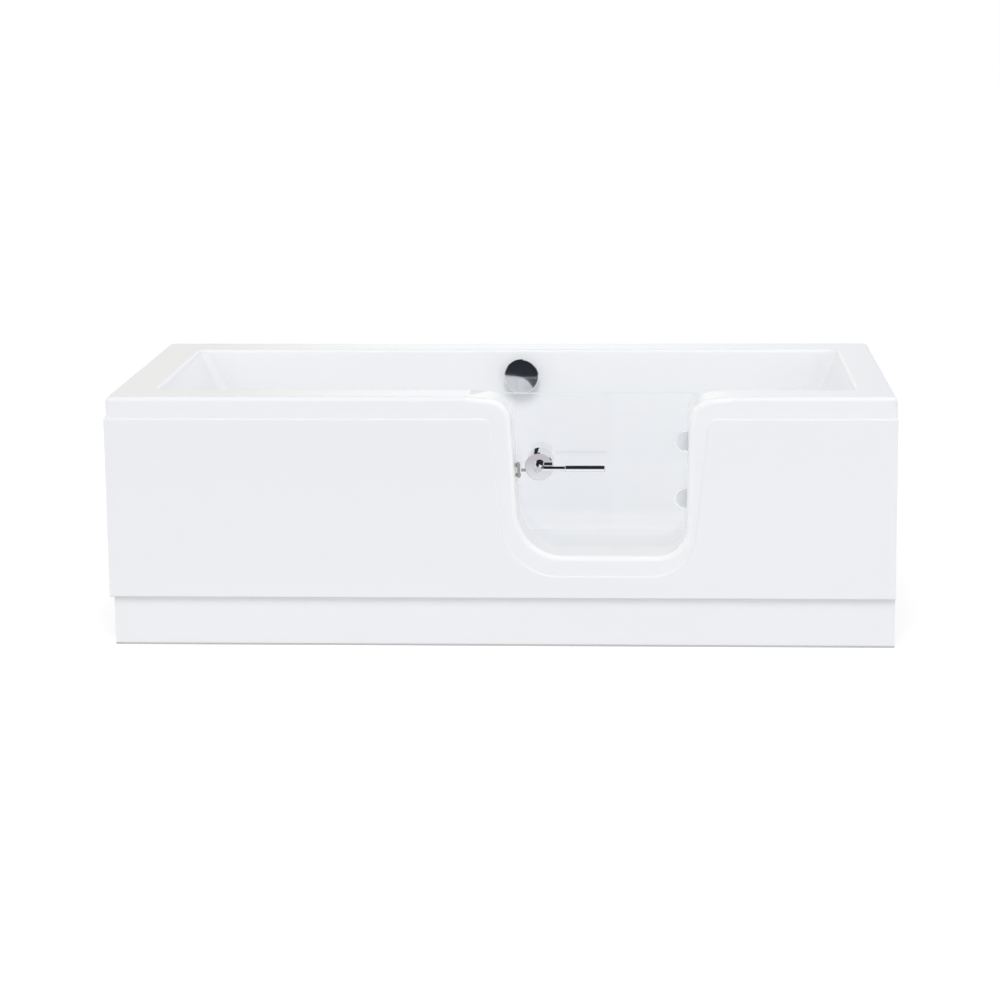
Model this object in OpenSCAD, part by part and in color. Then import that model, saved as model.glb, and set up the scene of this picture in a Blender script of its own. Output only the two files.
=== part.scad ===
// Bathtub with a glass door in its front wall.
// Millimetres, +Z up. The origin lies on the floor under the middle of the tub. +X runs along
// the tub to the right, and the side with the door faces -Y.

/* [Tub] */
// Overall length of the tub
tub_l = 1700; // [1660:10:1800]
// Overall depth, from the face of the front panel to the back edge
tub_w = 750; // [740:5:790]
// Height of the deck above the floor
tub_h = 550; // [540:5:580]
// Height of the turned-down rim
rim_h = 46; // [42:1:52]
// Wall of the moulded shell
shell_t = 6; // [4:0.5:7]
// How far the rim's left end stands inside the panel's left end
rim_inset_l = 2; // [0:1:6]
// Corner radius of the rim, seen from above
rim_corner_r = 16; // [13:1:30]
// Radius of the deck's outer edge
deck_edge_r = 11; // [7:1:12]
// Radius of the edge between the deck and the basin
basin_edge_r = 9; // [5:1:10]

/* [Basin] */
// Width of the front deck, from the panel's face to the basin
deck_front = 100; // [92:1:106]
// Width of the back deck
deck_back = 105; // [96:1:112]
// Width of the left deck
deck_left = 97; // [85:1:120]
// Width of the right deck
deck_right = 81; // [75:1:110]
// Height of the basin's floor above the room's floor
floor_z = 135; // [130:1:145]
// Lean of the left end wall from upright, in degrees
lean_left = 28; // [20:1:30]
// Lean of the right end wall from upright, in degrees
lean_right = 24; // [18:1:28]
// Lean of the back wall from upright, in degrees
lean_back = 7.9; // [6:0.1:8]
// Corner radius of the basin at the deck
corner_top_r = 20; // [18:1:40]
// Corner radius of the basin at its floor
corner_low_r = 45; // [40:5:90]
// Height of the cove between the floor and the walls
cove_h = 45; // [35:1:50]

/* [Door notch] */
// Left side of the notch at the sill
notch_l = 45; // [42:1:50]
// Right side of the notch at the sill
notch_r = 400; // [392:1:403]
// Height of the sill above the room's floor
sill_z = 202; // [198:1:215]
// Lean of the left jamb, in degrees
jamb_lean_l = 3.5; // [3:0.5:5]
// Lean of the right jamb, in degrees
jamb_lean_r = 1.4; // [1:0.1:3]
// Corner radius between the left jamb and the sill
sill_r_l = 98; // [85:1:110]
// Corner radius between the right jamb and the sill
sill_r_r = 63; // [50:1:80]
// Radius where the jambs run out into the deck
flare_r = 52; // [40:1:54]
// Dip of the deck beside the notch
deck_dip = 9; // [6:1:10]
// Length of the deck that dips
dip_l = 100; // [80:5:110]
// Radius of the notch's front edge
notch_edge_r = 11; // [6:1:12]

/* [Front panel] */
// Sheet thickness of the panel
panel_t = 3; // [2.5:0.5:4]
// Height of the panel's lower edge above the floor
panel_z = 109; // [104:1:114]
// Depth of the panel's turned-in flanges
panel_flange = 25; // [20:1:26]
// Radius of the panel's lower edge
panel_low_r = 8; // [5:1:10]
// Left side of the panel's cut-out at its bottom
cut_l = 13; // [10:0.5:18]
// Right side of the panel's cut-out at its bottom
cut_r = 411.5; // [409:0.5:418]
// Height of the cut-out's bottom above the floor
cut_z = 159; // [155:1:168]
// Lean of the cut-out's left side, in degrees
cut_lean_l = 4.9; // [4.5:0.1:6]
// Lean of the cut-out's right side, in degrees
cut_lean_r = 6.2; // [5.5:0.1:7.5]
// Lower left corner radius of the cut-out
cut_r_l = 124; // [110:1:132]
// Lower right corner radius of the cut-out
cut_r_r = 98; // [85:1:108]
// Radius of the cut-out's upper corners
cut_top_r = 20; // [12:1:24]
// How far the shell's band reaches behind the panel
band_lap = 12; // [8:1:16]
// Thickness of the plinth board
plinth_t = 12; // [9:1:15]
// How far the plinth stands behind the panel's face
plinth_inset = 10; // [8:1:14]
// How far the plinth's left end stands inside the panel's
plinth_inset_l = 8; // [4:1:14]

/* [Door] */
// Thickness of the glass
glass_t = 8; // [6:1:10]
// Left edge of the pane
glass_l = -18; // [-22:1:-14]
// Right edge of the pane
glass_r = 446; // [442:1:447]
// Lower edge of the pane above the room's floor
glass_z = 170; // [168:1:178]
// How far the pane's upper edge stands below the deck
glass_drop = 9; // [6:1:14]
// Lower left corner radius of the pane
glass_r_l = 92; // [80:1:105]
// Lower right corner radius of the pane
glass_r_r = 60; // [50:1:70]
// Thickness of the door seal
seal_t = 4; // [3:0.5:5]
// Width of the door seal
seal_w = 12; // [9:1:13]
// Distance from the notch to the seal
seal_gap = 6; // [5:1:8]

/* [Hinges] */
// Distance from the pane's right edge to the hinge axis
hinge_side = 2; // [2:0.5:6]
// Distance from the pane's inner face to the hinge axis
hinge_out = 23; // [20:1:26]
// Height of the upper hinge below the deck
hinge_top = 116.5; // [105:0.5:125]
// Distance between the two hinges
hinge_pitch = 127; // [110:1:140]
// Diameter of the discs that hold the glass
disc_d = 44; // [38:1:46]
// Thickness of those discs
disc_t = 7; // [5:1:8]
// Distance from the pane's right edge to the centre of the discs
disc_in = 46; // [42:1:48]
// Diameter of the hinge pins
pin_d = 8; // [6:1:9]
// Height of the middle knuckle
knuckle_h = 19; // [16:1:24]
// Thickness of the ears above and below it
ear_h = 8; // [6:1:10]

/* [Latch and handle] */
// Handle axis along the tub
handle_x = 85; // [83:1:88]
// Height of the handle axis below the deck
handle_drop = 160; // [150:1:170]
// Diameter of the round lock case
case_d = 62; // [58:1:64]
// Length of the lock case in front of the glass
case_l = 58; // [50:1:62]
// Diameter of the spindle
spindle_d = 12; // [10:1:14]
// Diameter of the lever's hub
hub_d = 21; // [18:1:24]
// Length of the lever, from its axis to its tip
lever_l = 143; // [130:1:146]
// Diameter of the lever's neck
neck_d = 10.5; // [9:0.5:12]
// Diameter of the lever's grip
grip_d = 14; // [12:0.5:15]
// Length of the grip
grip_l = 87; // [75:1:95]
// Distance from the lock case's face to the lever
lever_out = 20; // [18:1:22]
// Diameter of the latch bolt
bolt_d = 6.5; // [5.5:0.5:8]
// Travel of the latch bolt
bolt_travel = 8; // [6:0.5:8]
// Distance of the latch bolt below the handle axis
latch_drop = 11; // [10:1:13]
// Height of the keeper plate
keeper_h = 32; // [28:1:40]

/* [Waste and overflow] */
// Waste and overflow along the tub
waste_x = 19; // [10:1:30]
// Distance from the tub's back edge to the waste
waste_in = 315; // [309:1:325]
// Depth of the overflow's centre below the deck
overflow_drop = 63; // [58:1:72]
// Diameter of the overflow's control disc
dial_d = 82; // [76:1:86]
// Distance from the wall to the face of the control disc
dial_out = 25; // [22:1:28]
// Thickness of the control disc
dial_t = 11; // [9:1:13]
// Diameter of the waste flange
waste_d = 72; // [68:1:76]
// Diameter of the waste plug
plug_d = 62; // [58:1:64]
// Outer diameter of the overflow hose
hose_d = 26; // [24:1:28]
// Distance between the ribs of the overflow hose
rib_pitch = 6; // [5:0.5:8]
// Diameter of the outlet pipe
outlet_d = 40; // [38:1:42]

/* [Frame] */
// Width of the square rails
rail_w = 30; // [28:1:32]
// Wall of the square tubes
tube_t = 2; // [1.5:0.5:3]
// Width of the square uprights
post_w = 25; // [20:1:28]
// Thickness of the base board
board_t = 16; // [12:1:18]
// Thickness of the battens under the deck
batten_t = 18; // [15:1:22]
// Diameter of the feet's stems
stem_d = 12; // [10:1:14]
// Diameter of the feet's pads
pad_d = 50; // [40:1:60]

/* [Hidden] */

// Segments in a quarter turn of the moulded shell's corners and edges
corner_n = 9;
edge_n = 4;
cove_n = 6;
// Gap of a turning or sliding fit, on the radius
fit = 0.05;
// Gap between pieces that only lie close
gap = 0.3;
// Overlap of cutting tools past the face that they cut
past = 1;

// Outer faces of the rim and the inner faces of the basin at the deck
rim_x0 = -tub_l / 2 + rim_inset_l;
rim_x1 = tub_l / 2;
front_y = -tub_w / 2;
rim_y0 = front_y + panel_t;
rim_y1 = tub_w / 2;
rim_z = tub_h - rim_h;
basin_x0 = -tub_l / 2 + deck_left;
basin_x1 = tub_l / 2 - deck_right;
basin_y0 = front_y + deck_front;
basin_y1 = tub_w / 2 - deck_back;
cove_z = floor_z + cove_h;
under_z = floor_z - shell_t;

// Planes of the door, counted from the basin's front wall
glass_y0 = basin_y0 + seal_t;
glass_y1 = glass_y0 + glass_t;
hinge_y = glass_y1 + hinge_out;
handle_z = tub_h - handle_drop;
glass_top = tub_h - glass_drop;
hinge_x = glass_r + hinge_side;
disc_x = glass_r - disc_in;
case_y = glass_y0 - case_l;
lever_y = case_y - lever_out;
hinge_zs = [tub_h - hinge_top, tub_h - hinge_top - hinge_pitch];

// Heights of the frame under the base board
board_z = under_z - board_t;
rail_z = board_z - rail_w;
cross_z = rail_z - rail_w;
batten_z = tub_h - shell_t - batten_t;
// Rails, posts and feet, counted from the tub's left and right ends and from its long sides
rail_in = [250, 210];
rail_side_in = [190, 245];
cross_in = [290, 250];
cross_mid = [-190, 230];
post_in = 45;
foot_in = 125;
rail_x = [-tub_l / 2 + rail_in[0], tub_l / 2 - rail_in[1]];
rail_y = [-tub_w / 2 + rail_side_in[0], tub_w / 2 - rail_side_in[1]];
cross_x = [-tub_l / 2 + cross_in[0], cross_mid[0], cross_mid[1], tub_l / 2 - cross_in[1]];
post_y = tub_w / 2 - post_in;
sill_x = cross_x[2];
foot_y = tub_w / 2 - foot_in;
waste_y = tub_w / 2 - waste_in;

// Sizes of the smaller pieces
waste_bore = 52;
overflow_bore = 51;
body_flange_d = 84;
gasket_t = 1;
gasket_z = 3;
rose_d = 52;
rose_t = 9;
glass_hole_d = 24;
case_bolt_depth = 40;
keeper_t = 5;
keeper_stand = 3;
keeper_w = 16;
keeper_screw_out = 11;
keeper_slot = [10, 12];
cross_end = tub_w / 2 - 30;
foot_seat = 5;
bracket_t = 3;
bracket_leg = 58;
bracket_w = 40;
bracket_drop = 64;
bracket_xs = [-375, 20, 415];
bracket_hole_d = 7;
bracket_hole_z = rim_z - 40;
seal_top = tub_h - 30;
leaf_half = knuckle_h / 2 + gap + ear_h;
leaf_l = 44;
leaf_t = 4;
leaf_web = 8;
leaf_screw_in = 14;
ear_r = pin_d / 2 + 5;
arm_r = pin_d / 2 + 4;
arm_in = 10;
hinge_pad_t = 1;
board_margin = 12;
board_hole_d = 90;
drain_body_d = 60;
drain_bore_d = 45;
body_bore_d = 42;
body_barrel_d = 50;
overflow_nut_d = 68;
overflow_flange_d = 74;
collar_d = 76;
dial_spindle_d = 12;
body_back = 74;
hose_y = basin_y1 + 52;
hose_top = tub_h - 120;
hose_z = 66;
hose_end = waste_y + 59;
spigot_d = hose_d - 3;
cable_x = waste_x + 22;
cable_d = 5;
cable_z = 62;
cable_end = waste_y + 40;
cable_top = tub_h - 95;
tail_z = 98;
body_z = 46;
branch_z = 70;
branch_d = 34;
branch_l = 50;
guide_z = 80;
stem_bore = 8;
plug_stem_l = 66;
trap_x = waste_x + 96;
trap_z = 22;
trap_h = 80;
trap_r = 36;
trap_foot_r = 28;
trap_wall = 3;
trap_out_l = 50;
hose_nut_l = 24;
branch_nut_l = 18;
outlet_nut_l = 14;
outlet_z = 54;
outlet_end = tub_w / 2 - 75;
socket_l = 90;
socket_depth = 50;
outlet_fit = 0.1;
function jamb_x(z) = side_l(notch_l, jamb_lean_l, z, sill_z, 0);
latch_z = handle_z - latch_drop;
keeper_face = jamb_x(latch_z) + keeper_stand + keeper_t;
bolt_rest = 3;
nut_t = 3;
bend_r = 60;
cable_bend_r = 50;
// Length over which the panel's cut-out runs out into its upper edge
cut_run = 2 * cut_top_r;

// Walls leaning inwards: how far a wall has come in at height z
function lean_in(lean, z) = (tub_h - z) * tan(lean);
// The cove is an arc that meets both the floor and the leaning wall without a kink
function cove_r(lean) = cove_h / (1 - sin(lean));
function cove_in(lean, h) = cove_r(lean) * cos(lean)
    - sqrt(pow(cove_r(lean), 2) - pow(cove_r(lean) - h, 2));
function wall_in(lean, z) = lean_in(lean, max(z, cove_z))
    + (z < cove_z ? cove_in(lean, z - floor_z) : 0);

// One ring of a box with rounded corners, counter-clockwise seen from above
function ring(x0, x1, y0, y1, r, z) = [
    for (corner = [0 : 3], i = [0 : corner_n])
        let (a = 90 * corner + 90 * i / corner_n)
        [
            (corner == 0 || corner == 3 ? x1 - r : x0 + r) + r * cos(a),
            (corner < 2 ? y1 - r : y0 + r) + r * sin(a),
            z
        ]
];

// A ring of the basin, grown outwards by out and drawn at height z
function basin_ring(shape_z, out, z) =
    let (
        up = max(0, (shape_z - cove_z) / (tub_h - cove_z)),
        r = corner_low_r + (corner_top_r - corner_low_r) * up
    )
    ring(
        basin_x0 + wall_in(lean_left, shape_z) - out,
        basin_x1 - wall_in(lean_right, shape_z) + out,
        basin_y0 + wall_in(0, shape_z) - out,
        basin_y1 - wall_in(lean_back, shape_z) + out,
        r + out,
        z
    );
function cove_height(k) = cove_h * (1 - sin(90 * k / cove_n));
function basin_rings(out) = [
    for (k = [cove_n : -1 : 0])
        basin_ring(floor_z + cove_height(k), out, floor_z + cove_height(k) - out * k / cove_n)
];
function basin_edge_rings() = [
    for (k = [0 : edge_n])
        let (
            a = 90 * k / edge_n,
            z = tub_h - basin_edge_r * (1 - sin(a))
        )
        basin_ring(tub_h - basin_edge_r, basin_edge_r * (1 - cos(a)), z)
];

// A closed solid through rings of equal length. Each cap is a ladder from one side to the other.
function ladder(n, base) = [
    for (i = [0 : n / 2 - 2]) [base + i, base + i + 1, base + n - 2 - i, base + n - 1 - i]
];
function backwards(face) = [for (i = [len(face) - 1 : -1 : 0]) face[i]];
module skin(rings) {
    n = len(rings[0]);
    rows = len(rings);
    sides = [
        for (i = [0 : rows - 2], j = [0 : n - 1])
            let (k = (j + 1) % n)
            each [
                [i * n + j, (i + 1) * n + j, (i + 1) * n + k],
                [i * n + j, (i + 1) * n + k, i * n + k]
            ]
    ];
    caps = concat(ladder(n, 0), [for (face = ladder(n, (rows - 1) * n)) backwards(face)]);
    polyhedron([for (r = rings) each r], concat(sides, caps));
}

// An outline with its corners rounded: each corner becomes an arc of steps segments
function unit(v) = v / norm(v);
function turn(a) = (a + 540) % 360 - 180;
function corner_arc(before, at, after, r, steps) =
    let (
        u = unit(before - at),
        w = unit(after - at),
        half = acos(u * w) / 2,
        centre = at + unit(u + w) * r / sin(half),
        start = at + u * r / tan(half) - centre,
        end = at + w * r / tan(half) - centre,
        a = atan2(start[1], start[0]),
        sweep = turn(atan2(end[1], end[0]) - a)
    )
    [
        for (i = [0 : steps])
            centre + r * [cos(a + sweep * i / steps), sin(a + sweep * i / steps)]
    ];
function rounded(points, radii, steps) =
    let (n = len(points))
    [
        for (i = [0 : n - 1])
            each radii[i] == 0 ? [points[i]]
                : corner_arc(points[(i + n - 1) % n], points[i], points[(i + 1) % n],
                    radii[i], steps)
    ];

// The U of a notch in X and Z, grown by out. Its sides lean outwards, and its top runs out
// into an edge at height top, which dips by dip over a length of reach.
function side_l(x, lean, z, bottom, out) = x - out / cos(lean) - (z - bottom) * tan(lean);
function side_r(x, lean, z, bottom, out) = x + out / cos(lean) + (z - bottom) * tan(lean);
function notch(left, right, bottom, top, leans, low_r, high_r, dip, reach, above, out) =
    let (
        low = bottom - out,
        high = top - dip - out,
        x0 = side_l(left, leans[0], top, bottom, 0) - reach,
        x1 = side_r(right, leans[1], top, bottom, 0) + reach,
        edge = top + above - out
    )
    rounded(
        [
            [x0, top + 6 * above], [x0, edge],
            [side_l(left, leans[0], high, bottom, out), high],
            [side_l(left, leans[0], low, bottom, out), low],
            [side_r(right, leans[1], low, bottom, out), low],
            [side_r(right, leans[1], high, bottom, out), high],
            [x1, edge], [x1, top + 6 * above]
        ],
        [0, 0, high_r - out, low_r[0] + out, low_r[1] + out, high_r - out, 0, 0],
        corner_n
    );
function door_outline(out) = notch(notch_l, notch_r, sill_z, tub_h,
    [jamb_lean_l, jamb_lean_r], [sill_r_l, sill_r_r], flare_r, deck_dip, dip_l, 1, out);
function cut_outline(out) = notch(cut_l, cut_r, cut_z, rim_z,
    [cut_lean_l, cut_lean_r], [cut_r_l, cut_r_r], cut_top_r, 0, cut_run, 0.4, out);

// Stands an X-Z outline up between the planes y0 and y1, y0 being nearer the front
module upright_plate(outline, y0, y1) {
    rotate([90, 0, 0]) translate([0, 0, -y1]) linear_extrude(y1 - y0) polygon(outline);
}

module box(x0, x1, y0, y1, z0, z1) {
    translate([x0, y0, z0]) cube([x1 - x0, y1 - y0, z1 - z0]);
}

// A square tube along Z of length l, its section centred on the axis
module square_tube(w, l) {
    difference() {
        translate([-w / 2, -w / 2, 0]) cube([w, w, l]);
        translate([-w / 2 + tube_t, -w / 2 + tube_t, -past])
            cube([w - 2 * tube_t, w - 2 * tube_t, l + 2 * past]);
    }
}

module tube(d, bore, l) {
    difference() {
        cylinder(d = d, h = l, $fn = 64);
        translate([0, 0, -past]) cylinder(d = bore, h = l + 2 * past, $fn = 64);
    }
}

// Shell: one moulding with deck, rim, basin and door notch
module rim() {
    rings = concat(
        [ring(rim_x0, rim_x1, rim_y0, rim_y1, rim_corner_r, rim_z)],
        [
            for (k = [0 : edge_n])
                let (
                    a = 90 * k / edge_n,
                    in = deck_edge_r * (1 - cos(a)),
                    z = tub_h - deck_edge_r * (1 - sin(a))
                )
                ring(rim_x0 + in, rim_x1 - in, rim_y0 + in, rim_y1 - in, rim_corner_r - in, z)
        ]
    );
    in = shell_t;
    hollow = ring(rim_x0 + in, rim_x1 - in, rim_y0 + in, rim_y1 - in, rim_corner_r - in, 0);
    difference() {
        skin(rings);
        translate([0, 0, rim_z - past]) linear_extrude(rim_h - shell_t + past)
            polygon([for (p = hollow) [p[0], p[1]]]);
    }
}

module door_frame() {
    // Jambs and sill
    intersection() {
        upright_plate(door_outline(shell_t), rim_y0, basin_y0 - shell_t / 2);
        box(basin_x0, basin_x1, rim_y0 - past, basin_y0, 0, tub_h - shell_t / 2);
    }
    // Band behind the cut-out of the panel
    intersection() {
        upright_plate(cut_outline(band_lap), rim_y0, rim_y0 + shell_t);
        box(basin_x0, basin_x1, rim_y0 - past, basin_y0, 0, rim_z + shell_t);
    }
}

module door_cut() {
    function edge_out(r, k) = r * (1 - cos(90 * k / edge_n));
    function edge_run(r, k) = r * sin(90 * k / edge_n);
    inner_r = shell_t / 2;
    planes = concat(
        [[basin_y0 + past, inner_r]],
        [for (k = [edge_n : -1 : 0])
            [basin_y0 - inner_r + edge_run(inner_r, k), edge_out(inner_r, k)]],
        [for (k = [0 : edge_n])
            [rim_y0 + notch_edge_r - edge_run(notch_edge_r, k), edge_out(notch_edge_r, k)]],
        [[rim_y0 - past, notch_edge_r]]
    );
    rotate([90, 0, 0])
        skin([for (p = planes) [for (q = door_outline(p[1])) [q[0], q[1], -p[0]]]]);
}

module tub_shell() {
    color("white") difference() {
        union() {
            rim();
            skin(concat(basin_rings(shell_t),
                [basin_ring(tub_h - shell_t / 2, shell_t, tub_h - shell_t / 2)]));
            door_frame();
        }
        skin(concat(basin_rings(0), basin_edge_rings(),
            [basin_ring(tub_h - basin_edge_r, basin_edge_r, tub_h + past)]));
        door_cut();
        translate([waste_x, waste_y, under_z - past])
            cylinder(d = waste_bore, h = shell_t + 2 * past, $fn = 96);
        at_overflow() translate([0, 0, -2 * shell_t])
            cylinder(d = overflow_bore, h = 4 * shell_t, $fn = 96);
    }
}

// Boards and battens laminated to the shell
module base_board() {
    x0 = basin_x0 + wall_in(lean_left, floor_z) + board_margin;
    x1 = basin_x1 - wall_in(lean_right, floor_z) - board_margin;
    y0 = basin_y0 + wall_in(0, floor_z) + board_margin;
    y1 = basin_y1 - wall_in(lean_back, floor_z) - board_margin;
    color("burlywood") difference() {
        box(x0, x1, y0, y1, board_z, under_z);
        translate([waste_x, waste_y, board_z - past])
            cylinder(d = board_hole_d, h = board_t + 2 * past, $fn = 96);
    }
}

module rim_battens() {
    end_gap = 45;
    // Battens lie midway between the turned-down rim and the basin's wall
    front = (rim_y0 + basin_y0) / 2;
    back = (rim_y1 + basin_y1) / 2;
    left = (rim_x0 + basin_x0) / 2;
    right = (rim_x1 + basin_x1) / 2;
    half = min(deck_front - panel_t, deck_left, deck_right, deck_back) / 2 - 2 * shell_t;
    dip_x0 = side_l(notch_l, jamb_lean_l, tub_h, sill_z, 0) - dip_l;
    dip_x1 = side_r(notch_r, jamb_lean_r, tub_h, sill_z, 0) + dip_l;
    z1 = tub_h - shell_t;
    color("tan") {
        box(rim_x0 + end_gap, dip_x0 - shell_t, front - half, front + half, batten_z, z1);
        box(dip_x1 + shell_t, rim_x1 - end_gap, front - half, front + half, batten_z, z1);
        box(rim_x0 + end_gap, rim_x1 - end_gap, back - half, back + half, batten_z, z1);
        box(left - half, left + half, basin_y0 + end_gap, basin_y1 - end_gap, batten_z, z1);
        box(right - half, right + half, basin_y0 + end_gap, basin_y1 - end_gap, batten_z, z1);
    }
}

module sill_batten() {
    z1 = sill_z - shell_t;
    color("tan") box(sill_x - 80, sill_x + 60, -post_y - 30, -post_y + 40, z1 - batten_t, z1);
}

// Front panel: a thin sheet with all its edges turned in
module front_panel() {
    y1 = front_y + panel_flange;
    ins = front_y + panel_t;
    profile = rounded(
        [
            [y1, rim_z], [front_y, rim_z], [front_y, panel_z], [y1, panel_z],
            [y1, panel_z + panel_t], [ins, panel_z + panel_t],
            [ins, rim_z - panel_t], [y1, rim_z - panel_t]
        ],
        [0, panel_t - 0.5, panel_low_r, 0, 0, panel_low_r - panel_t, 0, 0],
        6
    );
    cut_x0 = side_l(cut_l, cut_lean_l, rim_z, cut_z, 0) - cut_run - gap;
    cut_x1 = side_r(cut_r, cut_lean_r, rim_z, cut_z, 0) + cut_run + gap;
    color("white") difference() {
        union() {
            translate([-tub_l / 2, 0, 0]) rotate([90, 0, 90]) linear_extrude(tub_l)
                polygon(profile);
            for (x = [-tub_l / 2, tub_l / 2 - panel_t])
                box(x, x + panel_t, ins - past, y1, panel_z + panel_t / 2, rim_z - panel_t / 2);
        }
        upright_plate(cut_outline(0), front_y - past, ins + past);
        box(cut_x0, cut_x1, ins, y1 + past, rim_z - 2 * panel_t, rim_z + past);
    }
}

module plinth() {
    y0 = front_y + plinth_inset;
    x0 = -tub_l / 2 + plinth_inset_l;
    z1 = panel_z;
    color("white") {
        box(x0, tub_l / 2, y0, y0 + plinth_t, 0, z1);
        // Turned end at the left
        box(x0, x0 + plinth_t, y0 + plinth_t, y0 + 4 * plinth_t, 0, z1);
    }
}

// Brackets that carry the panel and the plinth
module panel_brackets() {
    half = 20;
    y1 = -post_y - post_w / 2;
    z1 = rim_z - panel_t;
    color("silver") for (x = [cross_x[0], cross_x[1], cross_x[3]]) {
        box(x - half, x + half, rim_y0 + gap, y1, z1 - panel_t, z1);
        box(x - half, x + half, y1 - panel_t, y1, z1 - 45, z1 - panel_t);
    }
}

module panel_rests() {
    half = 15;
    y0 = front_y + plinth_inset + plinth_t + gap;
    y1 = -cross_end;
    z1 = panel_z;
    color("silver") for (x = cross_x) {
        box(x - half, x + half, y0, y1, z1 - panel_t, z1);
        box(x - half, x + half, y1 - panel_t, y1, cross_z, z1 - panel_t);
    }
}

module plinth_clips() {
    y0 = front_y + plinth_inset + plinth_t;
    y1 = -cross_end - panel_t;
    color("dimgray") for (x = cross_x) box(x - 15, x + 15, y0, y1, cross_z, cross_z + rail_w);
}

// Steel frame
module long_rail(y) {
    color("lightsteelblue") translate([rail_x[0], y, rail_z + rail_w / 2]) rotate([0, 90, 0])
        square_tube(rail_w, rail_x[1] - rail_x[0]);
}

module rail_front() {
    long_rail(rail_y[0]);
}

module rail_back() {
    long_rail(rail_y[1]);
}

module cross_rails() {
    color("lightsteelblue") for (x = cross_x) difference() {
        translate([x, -cross_end, cross_z + rail_w / 2]) rotate([-90, 0, 0])
            square_tube(rail_w, 2 * cross_end);
        for (y = [-foot_y, foot_y]) translate([x, y, cross_z - past])
            cylinder(d = stem_d + 2 * fit, h = tube_t + 2 * past, $fn = 48);
    }
}

module rail_caps() {
    // Plastic plugs in the open ends of the long rails
    w = rail_w - 2 * tube_t - 2 * fit;
    head = 2;
    depth = 12;
    color("black") for (y = rail_y, end = [0, 1])
        translate([rail_x[end], y, rail_z + rail_w / 2]) mirror([end, 0, 0]) {
            translate([-head, -rail_w / 2, -rail_w / 2]) cube([head, rail_w, rail_w]);
            translate([0, -w / 2, -w / 2]) cube([depth, w, w]);
        }
}

module uprights() {
    color("lightsteelblue") {
        for (x = [cross_x[0], cross_x[1], cross_x[3]]) translate([x, -post_y, rail_z])
            square_tube(post_w, batten_z - rail_z);
        for (x = cross_x) translate([x, post_y, rail_z])
            square_tube(post_w, batten_z - rail_z);
    }
}

module sill_upright() {
    color("lightsteelblue") translate([sill_x, -post_y, rail_z])
        square_tube(post_w, sill_z - shell_t - batten_t - rail_z);
}

// Feet
module at_feet() {
    for (x = cross_x, y = [-foot_y, foot_y]) translate([x, y, 0]) children();
}

module foot_stems() {
    color("silver") at_feet() translate([0, 0, foot_seat])
        cylinder(d = stem_d, h = cross_z + rail_w - 2 * tube_t - foot_seat, $fn = 48);
}

module foot_nuts() {
    h = 0.8 * stem_d;
    color("silver") at_feet() translate([0, 0, cross_z - h]) difference() {
        cylinder(d = 1.83 * stem_d, h = h, $fn = 6);
        translate([0, 0, -past]) cylinder(d = stem_d + 2 * fit, h = h + 2 * past, $fn = 48);
    }
}

module foot_pads() {
    color("dimgray") at_feet() difference() {
        rotate_extrude($fn = 64) polygon([
            [0, 0], [pad_d / 2 - 2, 0], [pad_d / 2, 2], [pad_d / 2, 6],
            [stem_d, foot_seat + 7], [0, foot_seat + 7]
        ]);
        translate([0, 0, foot_seat]) cylinder(d = stem_d + 2 * fit, h = 20, $fn = 48);
    }
}

// Brackets that hold the back rim to the wall
module wall_brackets() {
    y1 = rim_y1 - shell_t;
    z0 = rim_z - bracket_drop;
    half = bracket_w / 2;
    color("silver") for (x = bracket_xs) difference() {
        union() {
            box(x - half, x + half, y1 - bracket_leg, y1, batten_z - bracket_t, batten_z);
            box(x - half, x + half, y1 - bracket_t, y1, z0, batten_z - bracket_t);
        }
        translate([x, y1 + past, bracket_hole_z]) rotate([90, 0, 0])
            cylinder(d = bracket_hole_d, h = bracket_t + 2 * past, $fn = 48);
    }
}

module bracket_screws() {
    // Pan heads under the brackets' upper legs
    y = rim_y1 - shell_t - 0.7 * bracket_leg;
    color("silver") for (x = bracket_xs, dx = [-12, 12])
        translate([x + dx, y, batten_z - bracket_t - 3]) cylinder(d = 9, h = 3, $fn = 32);
}

// Door seal: a strip on the basin's wall round the notch
module door_seal() {
    color("gainsboro") intersection() {
        difference() {
            upright_plate(door_outline(seal_gap + seal_w), basin_y0, glass_y0);
            upright_plate(door_outline(seal_gap), basin_y0 - past, glass_y0 + past);
        }
        box(glass_l + gap, hinge_x, basin_y0 - past, glass_y0 + past, 0, seal_top);
    }
}

// Glass pane
module door_glass() {
    z1 = glass_top;
    outline = rounded(
        [[glass_l, z1], [glass_l, glass_z], [glass_r, glass_z], [glass_r, z1]],
        [6, glass_r_l, glass_r_r, 6],
        12
    );
    color("lightblue", 0.4) difference() {
        upright_plate(outline, glass_y0, glass_y1);
        translate([handle_x, glass_y1 + past, handle_z]) rotate([90, 0, 0])
            cylinder(d = glass_hole_d, h = glass_t + 2 * past, $fn = 64);
    }
}

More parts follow.
